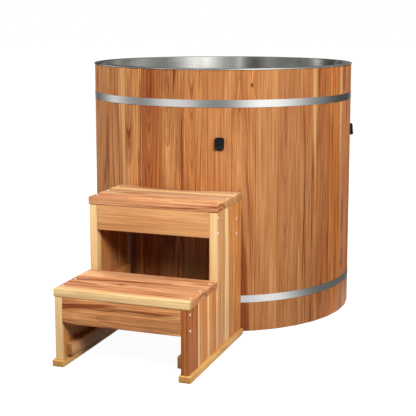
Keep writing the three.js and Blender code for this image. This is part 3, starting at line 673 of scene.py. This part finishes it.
def lay_grain(bm, points, along, across, board_look):
    """Store on each point where it lies in the log that its board was cut from."""
    vectors = bm.verts.layers.float_vector
    numbers = bm.verts.layers.float
    colours = bm.verts.layers.float_color
    if board_look["flip"]:
        along = -along
    axes = (across, along.cross(across), along)
    places = [Vector([point.co.dot(axis) for axis in axes]) for point in points]
    lows = Vector([min(place[axis] for place in places) for axis in range(3)])
    highs = Vector([max(place[axis] for place in places) for axis in range(3)])
    middle = (lows + highs) / 2
    half = (highs - lows) / 2
    from_heart, facts = cut_from_log(board_look, half)
    knot_across, knot_along = board_look["knot"] or NO_KNOT
    if board_look["flip"]:
        knot_along = -knot_along
    knot_strength = 1.0 if board_look["knot"] else 0.0
    red, green, blue, _ = TONES[board_look["tone"]]
    widest = max(face.calc_area() for point in points for face in point.link_faces)
    for point, raw_place in zip(points, places):
        place = raw_place - middle
        on_end = abs(place.z) > half.z - END_DEPTH
        on_arris = all(face.calc_area() < ARRIS_SHARE * widest for face in point.link_faces)
        point[vectors["grain"]] = place + from_heart
        point[vectors["knot"]] = (place.x - knot_across, place.z - knot_along, knot_strength)
        for name, number in facts.items():
            point[numbers[name]] = number
        point[numbers["arris"]] = float(on_arris)
        point[colours["heart"]] = (red, green, blue, float(on_end))


print("grain is laid from a seeded generator")

# %% [markdown]
# ## A finished piece
# Every piece ends in the same way. Its faces are shaded smooth with the real creases kept sharp, it gets
# its finish, it is hung under the body of the frame that it moves with, and the nodes of the frame that it
# stands for are hidden.

# %% A helper for pieces
def make_piece(bm, name, finish, body, nodes=(), crease=40):
    piece = show(bm, name, finish)
    piece.data.shade_smooth()
    piece.data.set_sharp_from_angle(angle=math.radians(crease))
    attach(piece, body)
    if nodes:
        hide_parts(*nodes)
    return piece


# %% [markdown]
# ## The staves
# A stave is a long board whose two edges are planed to a slight angle, so that 37 of them close into a
# ring. The outer arrises are eased and sanded, and painted paler as a painted highlight; the joint
# between two of them gets painted shade, darker on some staves than on others. One block is scaled to
# size, its inner side is drawn in to make the taper, two edges are bevelled, and the whole stave is
# turned to its place. The looks of the front staves follow the picture; the rest are drawn by chance.

# %% Looks of the staves
FRONT_STAVES = {
    # The left staves get the most painted shade in their joints, where the grooves face away from the light.
    29: look("honey", "slab", streaks=0.9, joint=0.6),
    30: look("honey", "slab", streaks=0.9, joint=0.6),
    31: look("honey", "slab", streaks=0.9, joint=0.6),
    32: look("honey", "straight", sap=0.015, streaks=1.0, flip=True),
    33: look("honey", "slab", streaks=1.3, joint=0.5),
    34: look("russet", "flat", streaks=0.7, joint=0.4),
    35: look("tan", "slab", streaks=1.2, joint=0.4),
    36: look("honey", "flat", streaks=0.8),
    0: look("honey", "straight", streaks=0.45),
    # Its dark arch is partly the core's dark heartwood and partly painted shade beside the step.
    1: look("honey", "flat", knot=(0.028, 0.412), streaks=0.8, core=0.07, flip=True),
    2: look("pale", "rift", streaks=0.25),
    3: look("tan", "flat", streaks=0.5),
    4: look("tan", "straight", sap=0.003, streaks=0.9, flip=True),
    5: look("brown", "rift", streaks=0.9),
    6: look("orange", "straight", sap=0.004, streaks=0.8, flip=True),
    7: look("pink", "slab", streaks=0.9),
    8: look("orange", "straight", streaks=0.9),
}


def chance_look():
    tone = chance.choice(("honey", "orange", "tan", "brown", "russet", "pink", "pale"))
    cut = chance.choice(("flat", "rift", "rift", "straight"))
    sap = chance.choice((0.0, 0.0, 0.0, 0.0, 0.006, -0.006))
    return look(tone, cut, sap=sap, streaks=chance.uniform(0.4, 0.9), flip=chance.random() < 0.5)


print(len(FRONT_STAVES), "staves follow the picture")

# %% Staves
STAVE_COUNT = 37
STAVE_PITCH = 360.0 / STAVE_COUNT
FIRST_STAVE_AZIMUTH = 17.7
STAVE_FACE_RADIUS = 0.4985
STAVE_THICKNESS = 0.027
STAVE_INNER_RADIUS = STAVE_FACE_RADIUS - STAVE_THICKNESS
STAVE_EASE = 0.0030
STAVE_JOINT = 0.0003
JOINT_DEPTH = 0.001
EASE_SLACK = 0.0001
OUT = Vector((0.0, -1.0, 0.0))
UP = Vector((0.0, 0.0, 1.0))
RIGHT = Vector((1.0, 0.0, 0.0))
stave_low, stave_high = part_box("closing_stave")


def paint_joint_shade(bm, width, darkness):
    """The outermost points of the eased arrises lie at the joint with the next stave, and get its painted
    shade.
    """
    arris = bm.verts.layers.float["arris"]
    ease_back = STAVE_EASE - STAVE_THICKNESS / 2 + EASE_SLACK
    for point in bm.verts:
        if point.co.y < ease_back and abs(point.co.x) > width / 2 - JOINT_DEPTH:
            point[arris] = -darkness


def stave(number):
    half_angle = math.radians(STAVE_PITCH / 2)
    width = 2 * STAVE_FACE_RADIUS * math.tan(half_angle) - STAVE_JOINT
    bm = cedar_mesh()
    bmesh.ops.create_cube(bm, size=1.0)
    size = Vector((width, STAVE_THICKNESS, stave_high.z - stave_low.z))
    bmesh.ops.scale(bm, vec=size, verts=bm.verts)
    inner = [point for point in bm.verts if point.co.y > 0]
    bmesh.ops.scale(bm, vec=(STAVE_INNER_RADIUS / STAVE_FACE_RADIUS, 1.0, 1.0), verts=inner)
    arrises = [
        edge for edge in bm.edges
        if all(point.co.y < 0 for point in edge.verts) and edge.verts[0].co.x * edge.verts[1].co.x > 0
    ]
    bmesh.ops.bevel(
        bm, geom=arrises, offset=STAVE_EASE, affect="EDGES", segments=3, profile=0.5, material=-1
    )
    stave_look = FRONT_STAVES.get(number) or chance_look()
    lay_grain(bm, bm.verts[:], UP, RIGHT, stave_look)
    paint_joint_shade(bm, width, stave_look["joint"])
    middle = OUT * (STAVE_INNER_RADIUS + STAVE_THICKNESS / 2) + UP * (stave_high.z + stave_low.z) / 2
    bmesh.ops.translate(bm, vec=middle, verts=bm.verts)
    turn = math.radians(FIRST_STAVE_AZIMUTH + number * STAVE_PITCH)
    bmesh.ops.rotate(bm, cent=(0, 0, 0), matrix=Matrix.Rotation(turn, 3, "Z"), verts=bm.verts)
    return bm


for number in range(STAVE_COUNT):
    pair = f"stave_pair_{number // 2 + 1:02d}"
    node = "closing_stave" if number == STAVE_COUNT - 1 else pair
    make_piece(stave(number), f"stave_{number + 1:02d}", stave_cedar, "tub", [node])
print(STAVE_COUNT, "staves,", round(stave_high.z - stave_low.z, 3), "m long")

# %% [markdown]
# ## Boards of the step
# Nearly every other board is a straight plank with softly eased edges. The frame already holds each
# plank's box, so one helper reads it, fills it with a block, bevels all twelve edges and lays the grain
# along the longest side. Several planks may share one mesh, as the boards of a side panel do.

# %% A helper for planks
BOARD_EASE = 0.0025


def lay_plank_grain(bm, points, size, board_look):
    """The grain runs along the longest side of the plank, and the rings turn across the next longest."""
    axes = sorted(range(3), key=lambda axis: size[axis], reverse=True)
    along = Vector([float(axis == axes[0]) for axis in range(3)])
    across = Vector([float(axis == axes[1]) for axis in range(3)])
    lay_grain(bm, points, along, across, board_look)


def add_plank(bm, low, high, board_look):
    earlier = set(bm.verts)
    block = bmesh.ops.create_cube(bm, size=1.0)["verts"]
    bmesh.ops.scale(bm, vec=high - low, verts=block)
    bmesh.ops.translate(bm, vec=(low + high) / 2, verts=block)
    edges = list({edge for point in block for edge in point.link_edges})
    bmesh.ops.bevel(bm, geom=edges, offset=BOARD_EASE, affect="EDGES", segments=3, profile=0.5, material=-1)
    points = [point for point in bm.verts if point not in earlier]
    lay_plank_grain(bm, points, high - low, board_look)


def plank_piece(node, board_look, body):
    bm = cedar_mesh()
    add_plank(bm, *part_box(node), board_look)
    make_piece(bm, node + "_plank", step_cedar, body, [node])


print("planks are eased by", BOARD_EASE * 1000, "mm")

# %% [markdown]
# ## Treads, aprons, cleats and runners
# These are the planks that carry the weight, all of them straight. The tread boards are mostly pinkish
# and streaky, the runners on the floor are golden, and the cleats inside are mixed. One cleat shows in
# the picture, so its tone is set afterwards.

# %% Planks of the step
PLANK_LOOKS = {
    "lower_tread_board_1": look("pink", "straight", sap=-0.022, streaks=1.4),
    "lower_tread_board_2": look("pink", "slab", streaks=1.3),
    "lower_tread_board_3": look("pink", "slab", streaks=1.2),
    "upper_tread_board_1": look("pink", "slab", streaks=1.2),
    "upper_tread_board_2": look("blond", "slab", streaks=0.6),
    "lower_apron": look("brown", "slab", streaks=1.4),
    "upper_apron": look("honey", "straight", streaks=0.1),
    "rear_stretcher": look("tan", "flat", streaks=0.5),
    "left_runner": look("golden", "straight", streaks=0.3),
    "right_runner": look("golden", "straight", streaks=0.3),
}
CLEATS = [f"{side}_{level}_cleat" for side in ("left", "right") for level in ("low", "middle", "top")]
for node in CLEATS:
    PLANK_LOOKS[node] = look(chance.choice(("honey", "orange", "tan")), "rift", streaks=0.4)
PLANK_LOOKS["left_middle_cleat"]["tone"] = "orange"
for node, board_look in PLANK_LOOKS.items():
    slot = "runner_cedar" if "runner" in node else "step_cedar"
    plank_piece(node, board_look, "steps")
print(len(PLANK_LOOKS), "straight planks in the step")

# %% [markdown]
# ## The scribed tread board
# The last board of the upper tread isn't straight: its back edge is scribed to the round of the tub. A
# block could be cut by a cylinder, but the frame already has that outline. So this plank starts from the
# frame's own mesh, with its triangles merged and its sharp edges bevelled.

# %% Scribed board
MERGE_DISTANCE = 0.00002
FLAT_ANGLE = math.radians(1)
SCRIBED_EASE = 0.0015


def merged_copy(bm, node):
    """The frame's mesh is loose triangles: merge them and take out the edges inside flat faces."""
    bm.from_mesh(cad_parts[node].data)
    bmesh.ops.remove_doubles(bm, verts=bm.verts, dist=MERGE_DISTANCE)
    bmesh.ops.dissolve_limit(bm, angle_limit=FLAT_ANGLE, verts=bm.verts, edges=bm.edges)
    return bm


def round_sharp_edges(bm, offset, angle, segments):
    sharp = [edge for edge in bm.edges if edge.calc_face_angle(0.0) > math.radians(angle)]
    bmesh.ops.bevel(
        bm, geom=sharp, offset=offset, affect="EDGES", segments=segments, profile=0.5,
        material=-1, clamp_overlap=True,
    )


scribed = merged_copy(cedar_mesh(), "upper_tread_board_3")
round_sharp_edges(scribed, SCRIBED_EASE, angle=50, segments=3)
scribed_low, scribed_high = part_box("upper_tread_board_3")
scribed_look = look("blond", "rift", sap=-0.014, streaks=0.5)
lay_plank_grain(scribed, scribed.verts[:], scribed_high - scribed_low, scribed_look)
make_piece(scribed, "scribed_tread_plank", step_cedar, "steps", ["upper_tread_board_3"])
print("scribed board", round(scribed_high.x - scribed_low.x, 3), "m wide")

# %% [markdown]
# ## The side panels of the step
# Each side is six upright boards, three short ones under the lower tread and three tall ones under the
# upper tread. In the frame three boards share one solid with grooves at the joints; here each is a
# plank of its own, with its own tone, and the eased edges make the grooves.

# %% Side panels
PANEL_LOOKS = {
    "left_short_side": (
        look("orange", "straight", sap=-0.012),
        look("orange", "rift", streaks=0.6),
        look("orange", "flat"),
    ),
    "right_short_side": (
        # This front board is brown and darkened further as painted shade under the lower tread's overhang.
        look("umber_darkened_for_shade", "flat", streaks=1.2),
        look("orange", "straight", sap=-0.01),
        look("orange", "straight", sap=-0.013),
    ),
    "left_tall_side": (
        look("orange", "straight", sap=-0.035),
        look("russet", "rift"),
        look("orange", "straight", sap=0.018),
    ),
    "right_tall_side": (
        look("honey", "straight", sap=-0.01),
        look("orange", "straight", sap=-0.034),
        look("orange", "rift", streaks=0.8),
    ),
}
for node, board_looks in PANEL_LOOKS.items():
    panel = cedar_mesh()
    low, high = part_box(node)
    width = (high.y - low.y) / len(board_looks)
    for place, board_look in enumerate(board_looks):
        board_low = Vector((low.x, low.y + place * width + STAVE_JOINT / 2, low.z))
        board_high = Vector((high.x, low.y + (place + 1) * width - STAVE_JOINT / 2, high.z))
        add_plank(panel, board_low, board_high, board_look)
    make_piece(panel, node + "_boards", step_cedar, "steps", [node])
print(len(PANEL_LOOKS), "side panels,", sum(map(len, PANEL_LOOKS.values())), "boards")

# %% [markdown]
# ## The floor under the liner
# The tub's floor is a deck of boards cut to a circle, resting on three joists. It only shows from
# below, but a tub is tipped to be moved. For each board a filled circle is cut off on both sides, and the
# strip that is left is pulled down to the board's thickness.

# %% Deck boards and joists
DECK_BOARDS = 11
DECK_RADIUS = STAVE_INNER_RADIUS - STAVE_JOINT
CUT_SLACK = 0.000001
BACK = Vector((0.0, 1.0, 0.0))
deck_low, deck_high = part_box("floor_deck")
board_width = 2 * DECK_RADIUS / DECK_BOARDS


def add_deck_board(bm, left_cut, right_cut, board_look):
    earlier = set(bm.verts)
    bmesh.ops.create_circle(
        bm, cap_ends=True, segments=2 * STAVE_COUNT, radius=DECK_RADIUS,
        matrix=Matrix.Translation((0.0, 0.0, deck_high.z)),
    )
    for cut, outward in ((left_cut, -RIGHT), (right_cut, RIGHT)):
        fresh = [point for point in bm.verts if point not in earlier]
        geom = fresh + list({edge for point in fresh for edge in point.link_edges})
        geom += list({face for point in fresh for face in point.link_faces})
        bmesh.ops.bisect_plane(
            bm, geom=geom, dist=CUT_SLACK, plane_co=RIGHT * cut, plane_no=outward, clear_outer=True
        )
    tops = list({face for point in bm.verts if point not in earlier for face in point.link_faces})
    pulled = bmesh.ops.extrude_face_region(bm, geom=tops, use_keep_orig=True)["geom"]
    lower = [item for item in pulled if isinstance(item, bmesh.types.BMVert)]
    bmesh.ops.translate(bm, vec=UP * (deck_low.z - deck_high.z), verts=lower)
    points = [point for point in bm.verts if point not in earlier]
    faces = list({face for point in points for face in point.link_faces})
    bmesh.ops.recalc_face_normals(bm, faces=faces)
    lay_grain(bm, points, BACK, RIGHT, board_look)


deck = cedar_mesh()
for place in range(DECK_BOARDS):
    left_cut = -DECK_RADIUS + place * board_width + STAVE_JOINT
    right_cut = left_cut + board_width - 2 * STAVE_JOINT
    add_deck_board(deck, left_cut, right_cut, look(chance.choice(("tan", "honey")), "rift"))
make_piece(deck, "deck_boards", step_cedar, "tub", ["floor_deck"])
for node in ("front_joist", "middle_joist", "rear_joist"):
    plank_piece(node, look("tan", "flat", streaks=0.4), "tub")
print(DECK_BOARDS, "deck boards on 3 joists")

# %% [markdown]
# ## Brushed stainless steel
# The bands and the liner are the same sheet, brushed along its length. Fine lines that run round the
# tub come from a noise squeezed hard in height and hardly at all round the ring. They vary the colour,
# the roughness and the bump. On the liner the shader also spreads its reflections in one direction,
# which softens the screens into tall streaks. The bolts, the locks and the brass tap use the same net,
# with lines as short as they are wide.

# %% Steel and brass
SMEAR_STRETCH = (5.0, 5.0, 5.0)
SMEAR_SHARE = 0.6
WORN_METAL = (0.86, 0.86, 0.86, 1.0)
WEAR_RANGE = (0.5, 1.1)
WEAR_ROUGHNESS = 0.14
BRUSH_BUMP = 0.12
BRUSH_DEPTH = 0.0003
QUARTER_TURN = 0.25
ROUND_THE_TUB = (7.0, 7.0, 900.0)
EVERY_WAY = (260.0, 260.0, 260.0)
STEEL_GREY = (0.62, 0.62, 0.61, 1.0)
LINER_GREY = (0.62, 0.62, 0.58, 1.0)
LOCK_GREY = (0.05, 0.05, 0.05, 1.0)
BRASS_YELLOW = (0.78, 0.55, 0.22, 1.0)


def brushed_metal(name, colour, roughness, squeeze, spread=0.0):
    material, tree, shader = new_finish(name)
    shader.inputs["Metallic"].default_value = 1.0
    shader.inputs["Anisotropic"].default_value = spread
    shader.inputs["Anisotropic Rotation"].default_value = QUARTER_TURN
    place = add_node(tree, "TexCoord").outputs["Object"]
    lines = noise(tree, stretch(tree, place, squeeze), detail=4.0)
    smear = noise(tree, stretch(tree, place, SMEAR_STRETCH), detail=3.0)
    worn = tint(tree, colour, WORN_METAL)
    feed(tree, shader.inputs["Base Color"], mix_colour(tree, lines, colour, worn))
    wear = calc(tree, "ADD", lines, times(tree, smear, SMEAR_SHARE))
    worn_roughness = ease_between(tree, wear, *WEAR_RANGE, roughness, roughness + WEAR_ROUGHNESS)
    feed(tree, shader.inputs["Roughness"], worn_roughness)
    add_bump(tree, shader, lines, BRUSH_BUMP, BRUSH_DEPTH)
    return material


band_steel = brushed_metal("band_steel_brushed", STEEL_GREY, 0.16, ROUND_THE_TUB)
liner_steel = brushed_metal("liner_steel_brushed", LINER_GREY, 0.16, ROUND_THE_TUB, spread=0.8)
bolt_steel = brushed_metal("bolt_steel_plain", STEEL_GREY, 0.26, EVERY_WAY)
lock_metal = brushed_metal("lock_metal_plated", LOCK_GREY, 0.3, EVERY_WAY)
tap_brass = brushed_metal("tap_brass_tumbled", BRASS_YELLOW, 0.27, EVERY_WAY)
print("metals:", band_steel.name, liner_steel.name, bolt_steel.name, lock_metal.name, tap_brass.name)

# %% [markdown]
# ## Black plastic
# The cover latches are moulded in black plastic. A mould leaves a fine pebbled skin, and handling leaves
# paler scuffs. Two noises give both: a fine one for the bump, and a broad one for colour and roughness.

# %% Plastic
PEBBLE_SCALE = 1400.0
SCUFF_SCALE = 60.0
SCUFFED = (1.9, 1.9, 1.9, 1.0)
SCUFF_RANGE = (0.45, 0.75)
HANDLED_RANGE = (0.3, 0.7)
PLASTIC_ROUGHNESS = (0.36, 0.56)
PLASTIC_GLOSS = 0.15
PEBBLE_BUMP = 0.15
PEBBLE_DEPTH = 0.0002
LATCH_BLACK = (0.005, 0.005, 0.005, 1.0)


def moulded_plastic(name, colour):
    material, tree, shader = new_finish(name)
    place = add_node(tree, "TexCoord").outputs["Object"]
    pebble = noise(tree, place, scale=PEBBLE_SCALE, detail=2.0)
    scuff = noise(tree, place, scale=SCUFF_SCALE, detail=4.0)
    scuffed = mix_colour(tree, ease_between(tree, scuff, *SCUFF_RANGE), colour, tint(tree, colour, SCUFFED))
    feed(tree, shader.inputs["Base Color"], scuffed)
    feed(tree, shader.inputs["Roughness"], ease_between(tree, scuff, *HANDLED_RANGE, *PLASTIC_ROUGHNESS))
    shader.inputs["Specular IOR Level"].default_value = PLASTIC_GLOSS
    add_bump(tree, shader, pebble, PEBBLE_BUMP, PEBBLE_DEPTH)
    return material


latch_plastic = moulded_plastic("latch_plastic_black", LATCH_BLACK)
print("plastic:", latch_plastic.name)

# %% [markdown]
# ## The liner
# The liner is one cup of sheet: a flat floor that turns up into the wall, then a rim that folds out over
# the stave ends and down into a short lip. Its section is five points, rounded at the folds by a vertex
# bevel and spun round the axis. The merged skin then gets the thickness of the sheet.

# %% Liner
LINER_SHEET = 0.0015
LINER_WALL_RADIUS = 0.4697
LIP_DROP = 0.004
FLOOR_CORNER = 0.006
RIM_CORNER = 0.0015
ROUND_STEPS = 148
liner_low, liner_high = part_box("liner")
section = [
    (0.0, liner_low.z + LINER_SHEET),
    (LINER_WALL_RADIUS, liner_low.z + LINER_SHEET),
    (LINER_WALL_RADIUS, liner_high.z),
    (liner_high.x, liner_high.z),
    (liner_high.x, liner_high.z - LIP_DROP),
]
liner = bmesh.new()
corners = [liner.verts.new((radius, 0.0, height)) for radius, height in section]
for start, end in zip(corners, corners[1:]):
    liner.edges.new((start, end))
for corner, radius in ((1, FLOOR_CORNER), (2, RIM_CORNER), (3, RIM_CORNER)):
    bmesh.ops.bevel(
        liner, geom=[corners[corner]], offset=radius, affect="VERTICES", segments=4, profile=0.5, material=-1
    )
bmesh.ops.spin(
    liner, geom=liner.verts[:] + liner.edges[:], cent=(0, 0, 0), axis=(0, 0, 1), dvec=(0, 0, 0),
    angle=math.tau, steps=ROUND_STEPS, use_merge=True,
)
bmesh.ops.remove_doubles(liner, verts=liner.verts, dist=MERGE_DISTANCE)
bmesh.ops.recalc_face_normals(liner, faces=liner.faces)
# The skin is the side that shows, so its floor has to face up before it gets its thickness.
lowest = min(liner.faces, key=lambda face: face.calc_center_median().z)
if lowest.normal.z < 0:
    bmesh.ops.reverse_faces(liner, faces=liner.faces)
bmesh.ops.solidify(liner, geom=liner.faces[:], thickness=LINER_SHEET)
liner_piece = make_piece(liner, "liner_cup", liner_steel, "tub", ["liner"])
print("liner rim", round(liner_high.x * 2, 3), "m across,", len(liner_piece.data.polygons), "faces")

# %% [markdown]
# ## The bands
# A band is a strip bent round the staves, with its two ends turned out into ears that a bolt draws
# together. A short upright edge is spun not quite full circle, the end edges are pulled out into the
# ears, the folds are rounded, and the strip gets its thickness.

# %% Bands
BAND_RADIUS = 0.5009
BAND_SHEET = 0.0015
BAND_CLOSURE_AZIMUTH = 222.0
BAND_CLOSURE_GAP = 0.018
BAND_EAR_LENGTH = 0.026
BAND_FOLD = 0.003


def band(low, high):
    half_gap = math.degrees(BAND_CLOSURE_GAP / 2 / BAND_RADIUS)
    start = BAND_CLOSURE_AZIMUTH + half_gap
    bm = bmesh.new()
    foot = bm.verts.new(around(start, BAND_RADIUS, low.z))
    head = bm.verts.new(around(start, BAND_RADIUS, high.z))
    first = bm.edges.new((foot, head))
    turned = bmesh.ops.spin(
        bm, geom=[foot, head, first], cent=(0, 0, 0), axis=(0, 0, 1), dvec=(0, 0, 0),
        angle=math.radians(360.0 - 2 * half_gap), steps=ROUND_STEPS,
    )
    last = [item for item in turned["geom_last"] if isinstance(item, bmesh.types.BMEdge)][0]
    for edge, azimuth in ((first, start), (last, start - 2 * half_gap)):
        pulled = bmesh.ops.extrude_edge_only(bm, edges=[edge])["geom"]
        tips = [item for item in pulled if isinstance(item, bmesh.types.BMVert)]
        bmesh.ops.translate(bm, vec=around(azimuth, BAND_EAR_LENGTH, 0.0), verts=tips)
    bmesh.ops.bevel(
        bm, geom=[first, last], offset=BAND_FOLD, affect="EDGES", segments=4, profile=0.5, material=-1
    )
    bmesh.ops.recalc_face_normals(bm, faces=bm.faces)
    bmesh.ops.solidify(bm, geom=bm.faces[:], thickness=BAND_SHEET)
    return bm


for node in ("upper_band", "lower_band"):
    make_piece(band(*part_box(node)), node + "_strip", band_steel, "tub", [node])
print("2 bands,", round(math.tau * BAND_RADIUS, 2), "m round")

# %% [markdown]
# ## Small hardware
# The bolts, the cover latches with their locks, and the drain tap are small pieces of metal and plastic.
# Their shapes in the frame are right but dead sharp, and real edges always catch a line of light. So each
# is a merged copy of its solid with its sharp edges rounded a little.

# %% Bolts, latches, locks and the drain
LATCHES = (1, 2, 3, 4)
# Finish, body, material slot, and the rounding of the edges in metres.
HARDWARE = {
    "upper_band_bolt": (bolt_steel, "tub", "bolt_steel", 0.0004),
    "lower_band_bolt": (bolt_steel, "tub", "bolt_steel", 0.0004),
    "drain_tap": (tap_brass, "tub", "tap_brass", 0.0006),
    "drain_nut": (tap_brass, "tub", "tap_brass", 0.0006),
    "drain_lever": (tap_brass, "lever", "tap_brass", 0.0008),
}
for number in LATCHES:
    HARDWARE[f"cover_latch_{number}"] = (latch_plastic, "tub", "latch_plastic", 0.0008)
    HARDWARE[f"latch_lock_{number}"] = (lock_metal, f"lock_{number}", "lock_metal", 0.0003)
for node, (finish, body, slot, rounding) in HARDWARE.items():
    bm = merged_copy(bmesh.new(), node)
    round_sharp_edges(bm, rounding, angle=35, segments=2)
    make_piece(bm, node + "_rounded", finish, body, [node])
print(len(HARDWARE), "pieces of hardware")

# %% [markdown]
# ## Screw heads
# Dull zinc screws hold the step together, and blackened ones hold the latches to the staves. A head is a
# shallow cone with a sunk drive, and stands a little proud of the wood. One helper adds a head at a
# place, facing out along a direction, so all the heads of a group can share one mesh.

# %% A helper for screws
SCREW_RADIUS = 0.0043
SCREW_HEIGHT = 0.0016
SCREW_LIFT = 0.3
SCREW_TOP = 0.82
SCREW_RIM = 0.4
DRIVE_DRAFT = 0.02
DRIVE_DEPTH = 0.001
SPOT_SCALE = 900.0
SPOTTED = (0.8, 0.8, 0.8, 1.0)
SPOT_RANGE = (0.3, 0.7)
SCREW_ROUGHNESS = (0.36, 0.48)


def add_screw(bm, place, outward, radius):
    turn = outward.to_track_quat("Z", "Y").to_matrix().to_4x4()
    middle = Matrix.Translation(place + outward * SCREW_HEIGHT * SCREW_LIFT)
    made = bmesh.ops.create_cone(
        bm, cap_ends=True, segments=16, radius1=radius, radius2=radius * SCREW_TOP, depth=SCREW_HEIGHT,
        matrix=middle @ turn,
    )["verts"]
    faces = {face for point in made for face in point.link_faces}
    top = max(faces, key=lambda face: face.calc_center_median().dot(outward))
    bmesh.ops.inset_individual(bm, faces=[top], thickness=radius * SCREW_RIM)
    bmesh.ops.inset_individual(bm, faces=[top], thickness=radius * DRIVE_DRAFT, depth=-DRIVE_DEPTH)


def screw_finish(name, colour, metallic):
    material, tree, shader = new_finish(name)
    place = add_node(tree, "TexCoord").outputs["Object"]
    spots = noise(tree, place, scale=SPOT_SCALE, detail=3.0)
    feed(tree, shader.inputs["Base Color"], mix_colour(tree, spots, colour, tint(tree, colour, SPOTTED)))
    feed(tree, shader.inputs["Roughness"], ease_between(tree, spots, *SPOT_RANGE, *SCREW_ROUGHNESS))
    shader.inputs["Metallic"].default_value = metallic
    return material


screw_zinc = screw_finish("screw_zinc_dull", (0.92, 0.92, 0.9, 1.0), metallic=0.45)
screw_black = screw_finish("screw_steel_blackened", (0.09, 0.1, 0.1, 1.0), metallic=0.6)
print("screw finishes:", screw_zinc.name, screw_black.name)

# %% [markdown]
# ## Screws of the step
# Each tread board has one screw at either end, and each apron and the stretcher has two through each
# side panel. Their places follow from the boxes of the boards, so they stay right if a board moves.

# %% Step screws
SCREW_INSET = 0.012
SCREW_HEIGHT_SHARES = (0.2, 0.8)
step_screws = bmesh.new()
for node in [f"{level}_tread_board_{place}" for level in ("lower", "upper") for place in (1, 2, 3)]:
    low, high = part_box(node)
    for x in (low.x + SCREW_INSET, high.x - SCREW_INSET):
        add_screw(step_screws, Vector((x, (low.y + high.y) / 2, high.z)), UP, SCREW_RADIUS)
for node, panel in (("lower_apron", "short"), ("upper_apron", "tall"), ("rear_stretcher", "tall")):
    low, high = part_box(node)
    for side, outward in (("left", -RIGHT), ("right", RIGHT)):
        panel_low, panel_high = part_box(f"{side}_{panel}_side")
        face_x = panel_high.x if side == "right" else panel_low.x
        for share in SCREW_HEIGHT_SHARES:
            height = low.z + share * (high.z - low.z)
            add_screw(step_screws, Vector((face_x, (low.y + high.y) / 2, height)), outward, SCREW_RADIUS)
screws_piece = make_piece(step_screws, "step_screws", screw_zinc, "steps", crease=30)
print("step screws,", len(screws_piece.data.polygons), "faces")

# %% [markdown]
# ## Screws of the latches
# Two small screws go through the foot of each latch into its stave. A latch stands on every ninth stave,
# so the screws are placed from that stave's azimuth.

# %% Latch screws
LATCH_SCREW_RADIUS = 0.0028
LATCH_SCREW_SPREAD = 0.0115
LATCH_SCREW_LIFT = 0.007
STAVES_PER_LATCH = 9
LATCH_GAP = 0.0003
LATCH_DEPTH_AT_SCREW = 0.0131
latch_screws = bmesh.new()
for place, number in enumerate(LATCHES):
    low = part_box(f"cover_latch_{number}")[0]
    azimuth = FIRST_STAVE_AZIMUTH + place * STAVES_PER_LATCH * STAVE_PITCH
    outward = around(azimuth, 1.0, 0.0)
    tangent = UP.cross(outward)
    front = STAVE_FACE_RADIUS + LATCH_GAP + LATCH_DEPTH_AT_SCREW
    middle = outward * front + UP * (low.z + LATCH_SCREW_LIFT)
    for side in (-1, 1):
        spread = tangent * side * LATCH_SCREW_SPREAD
        add_screw(latch_screws, middle + spread, outward, LATCH_SCREW_RADIUS)
make_piece(latch_screws, "latch_screws", screw_black, "tub", crease=30)
print(2 * len(LATCHES), "latch screws")
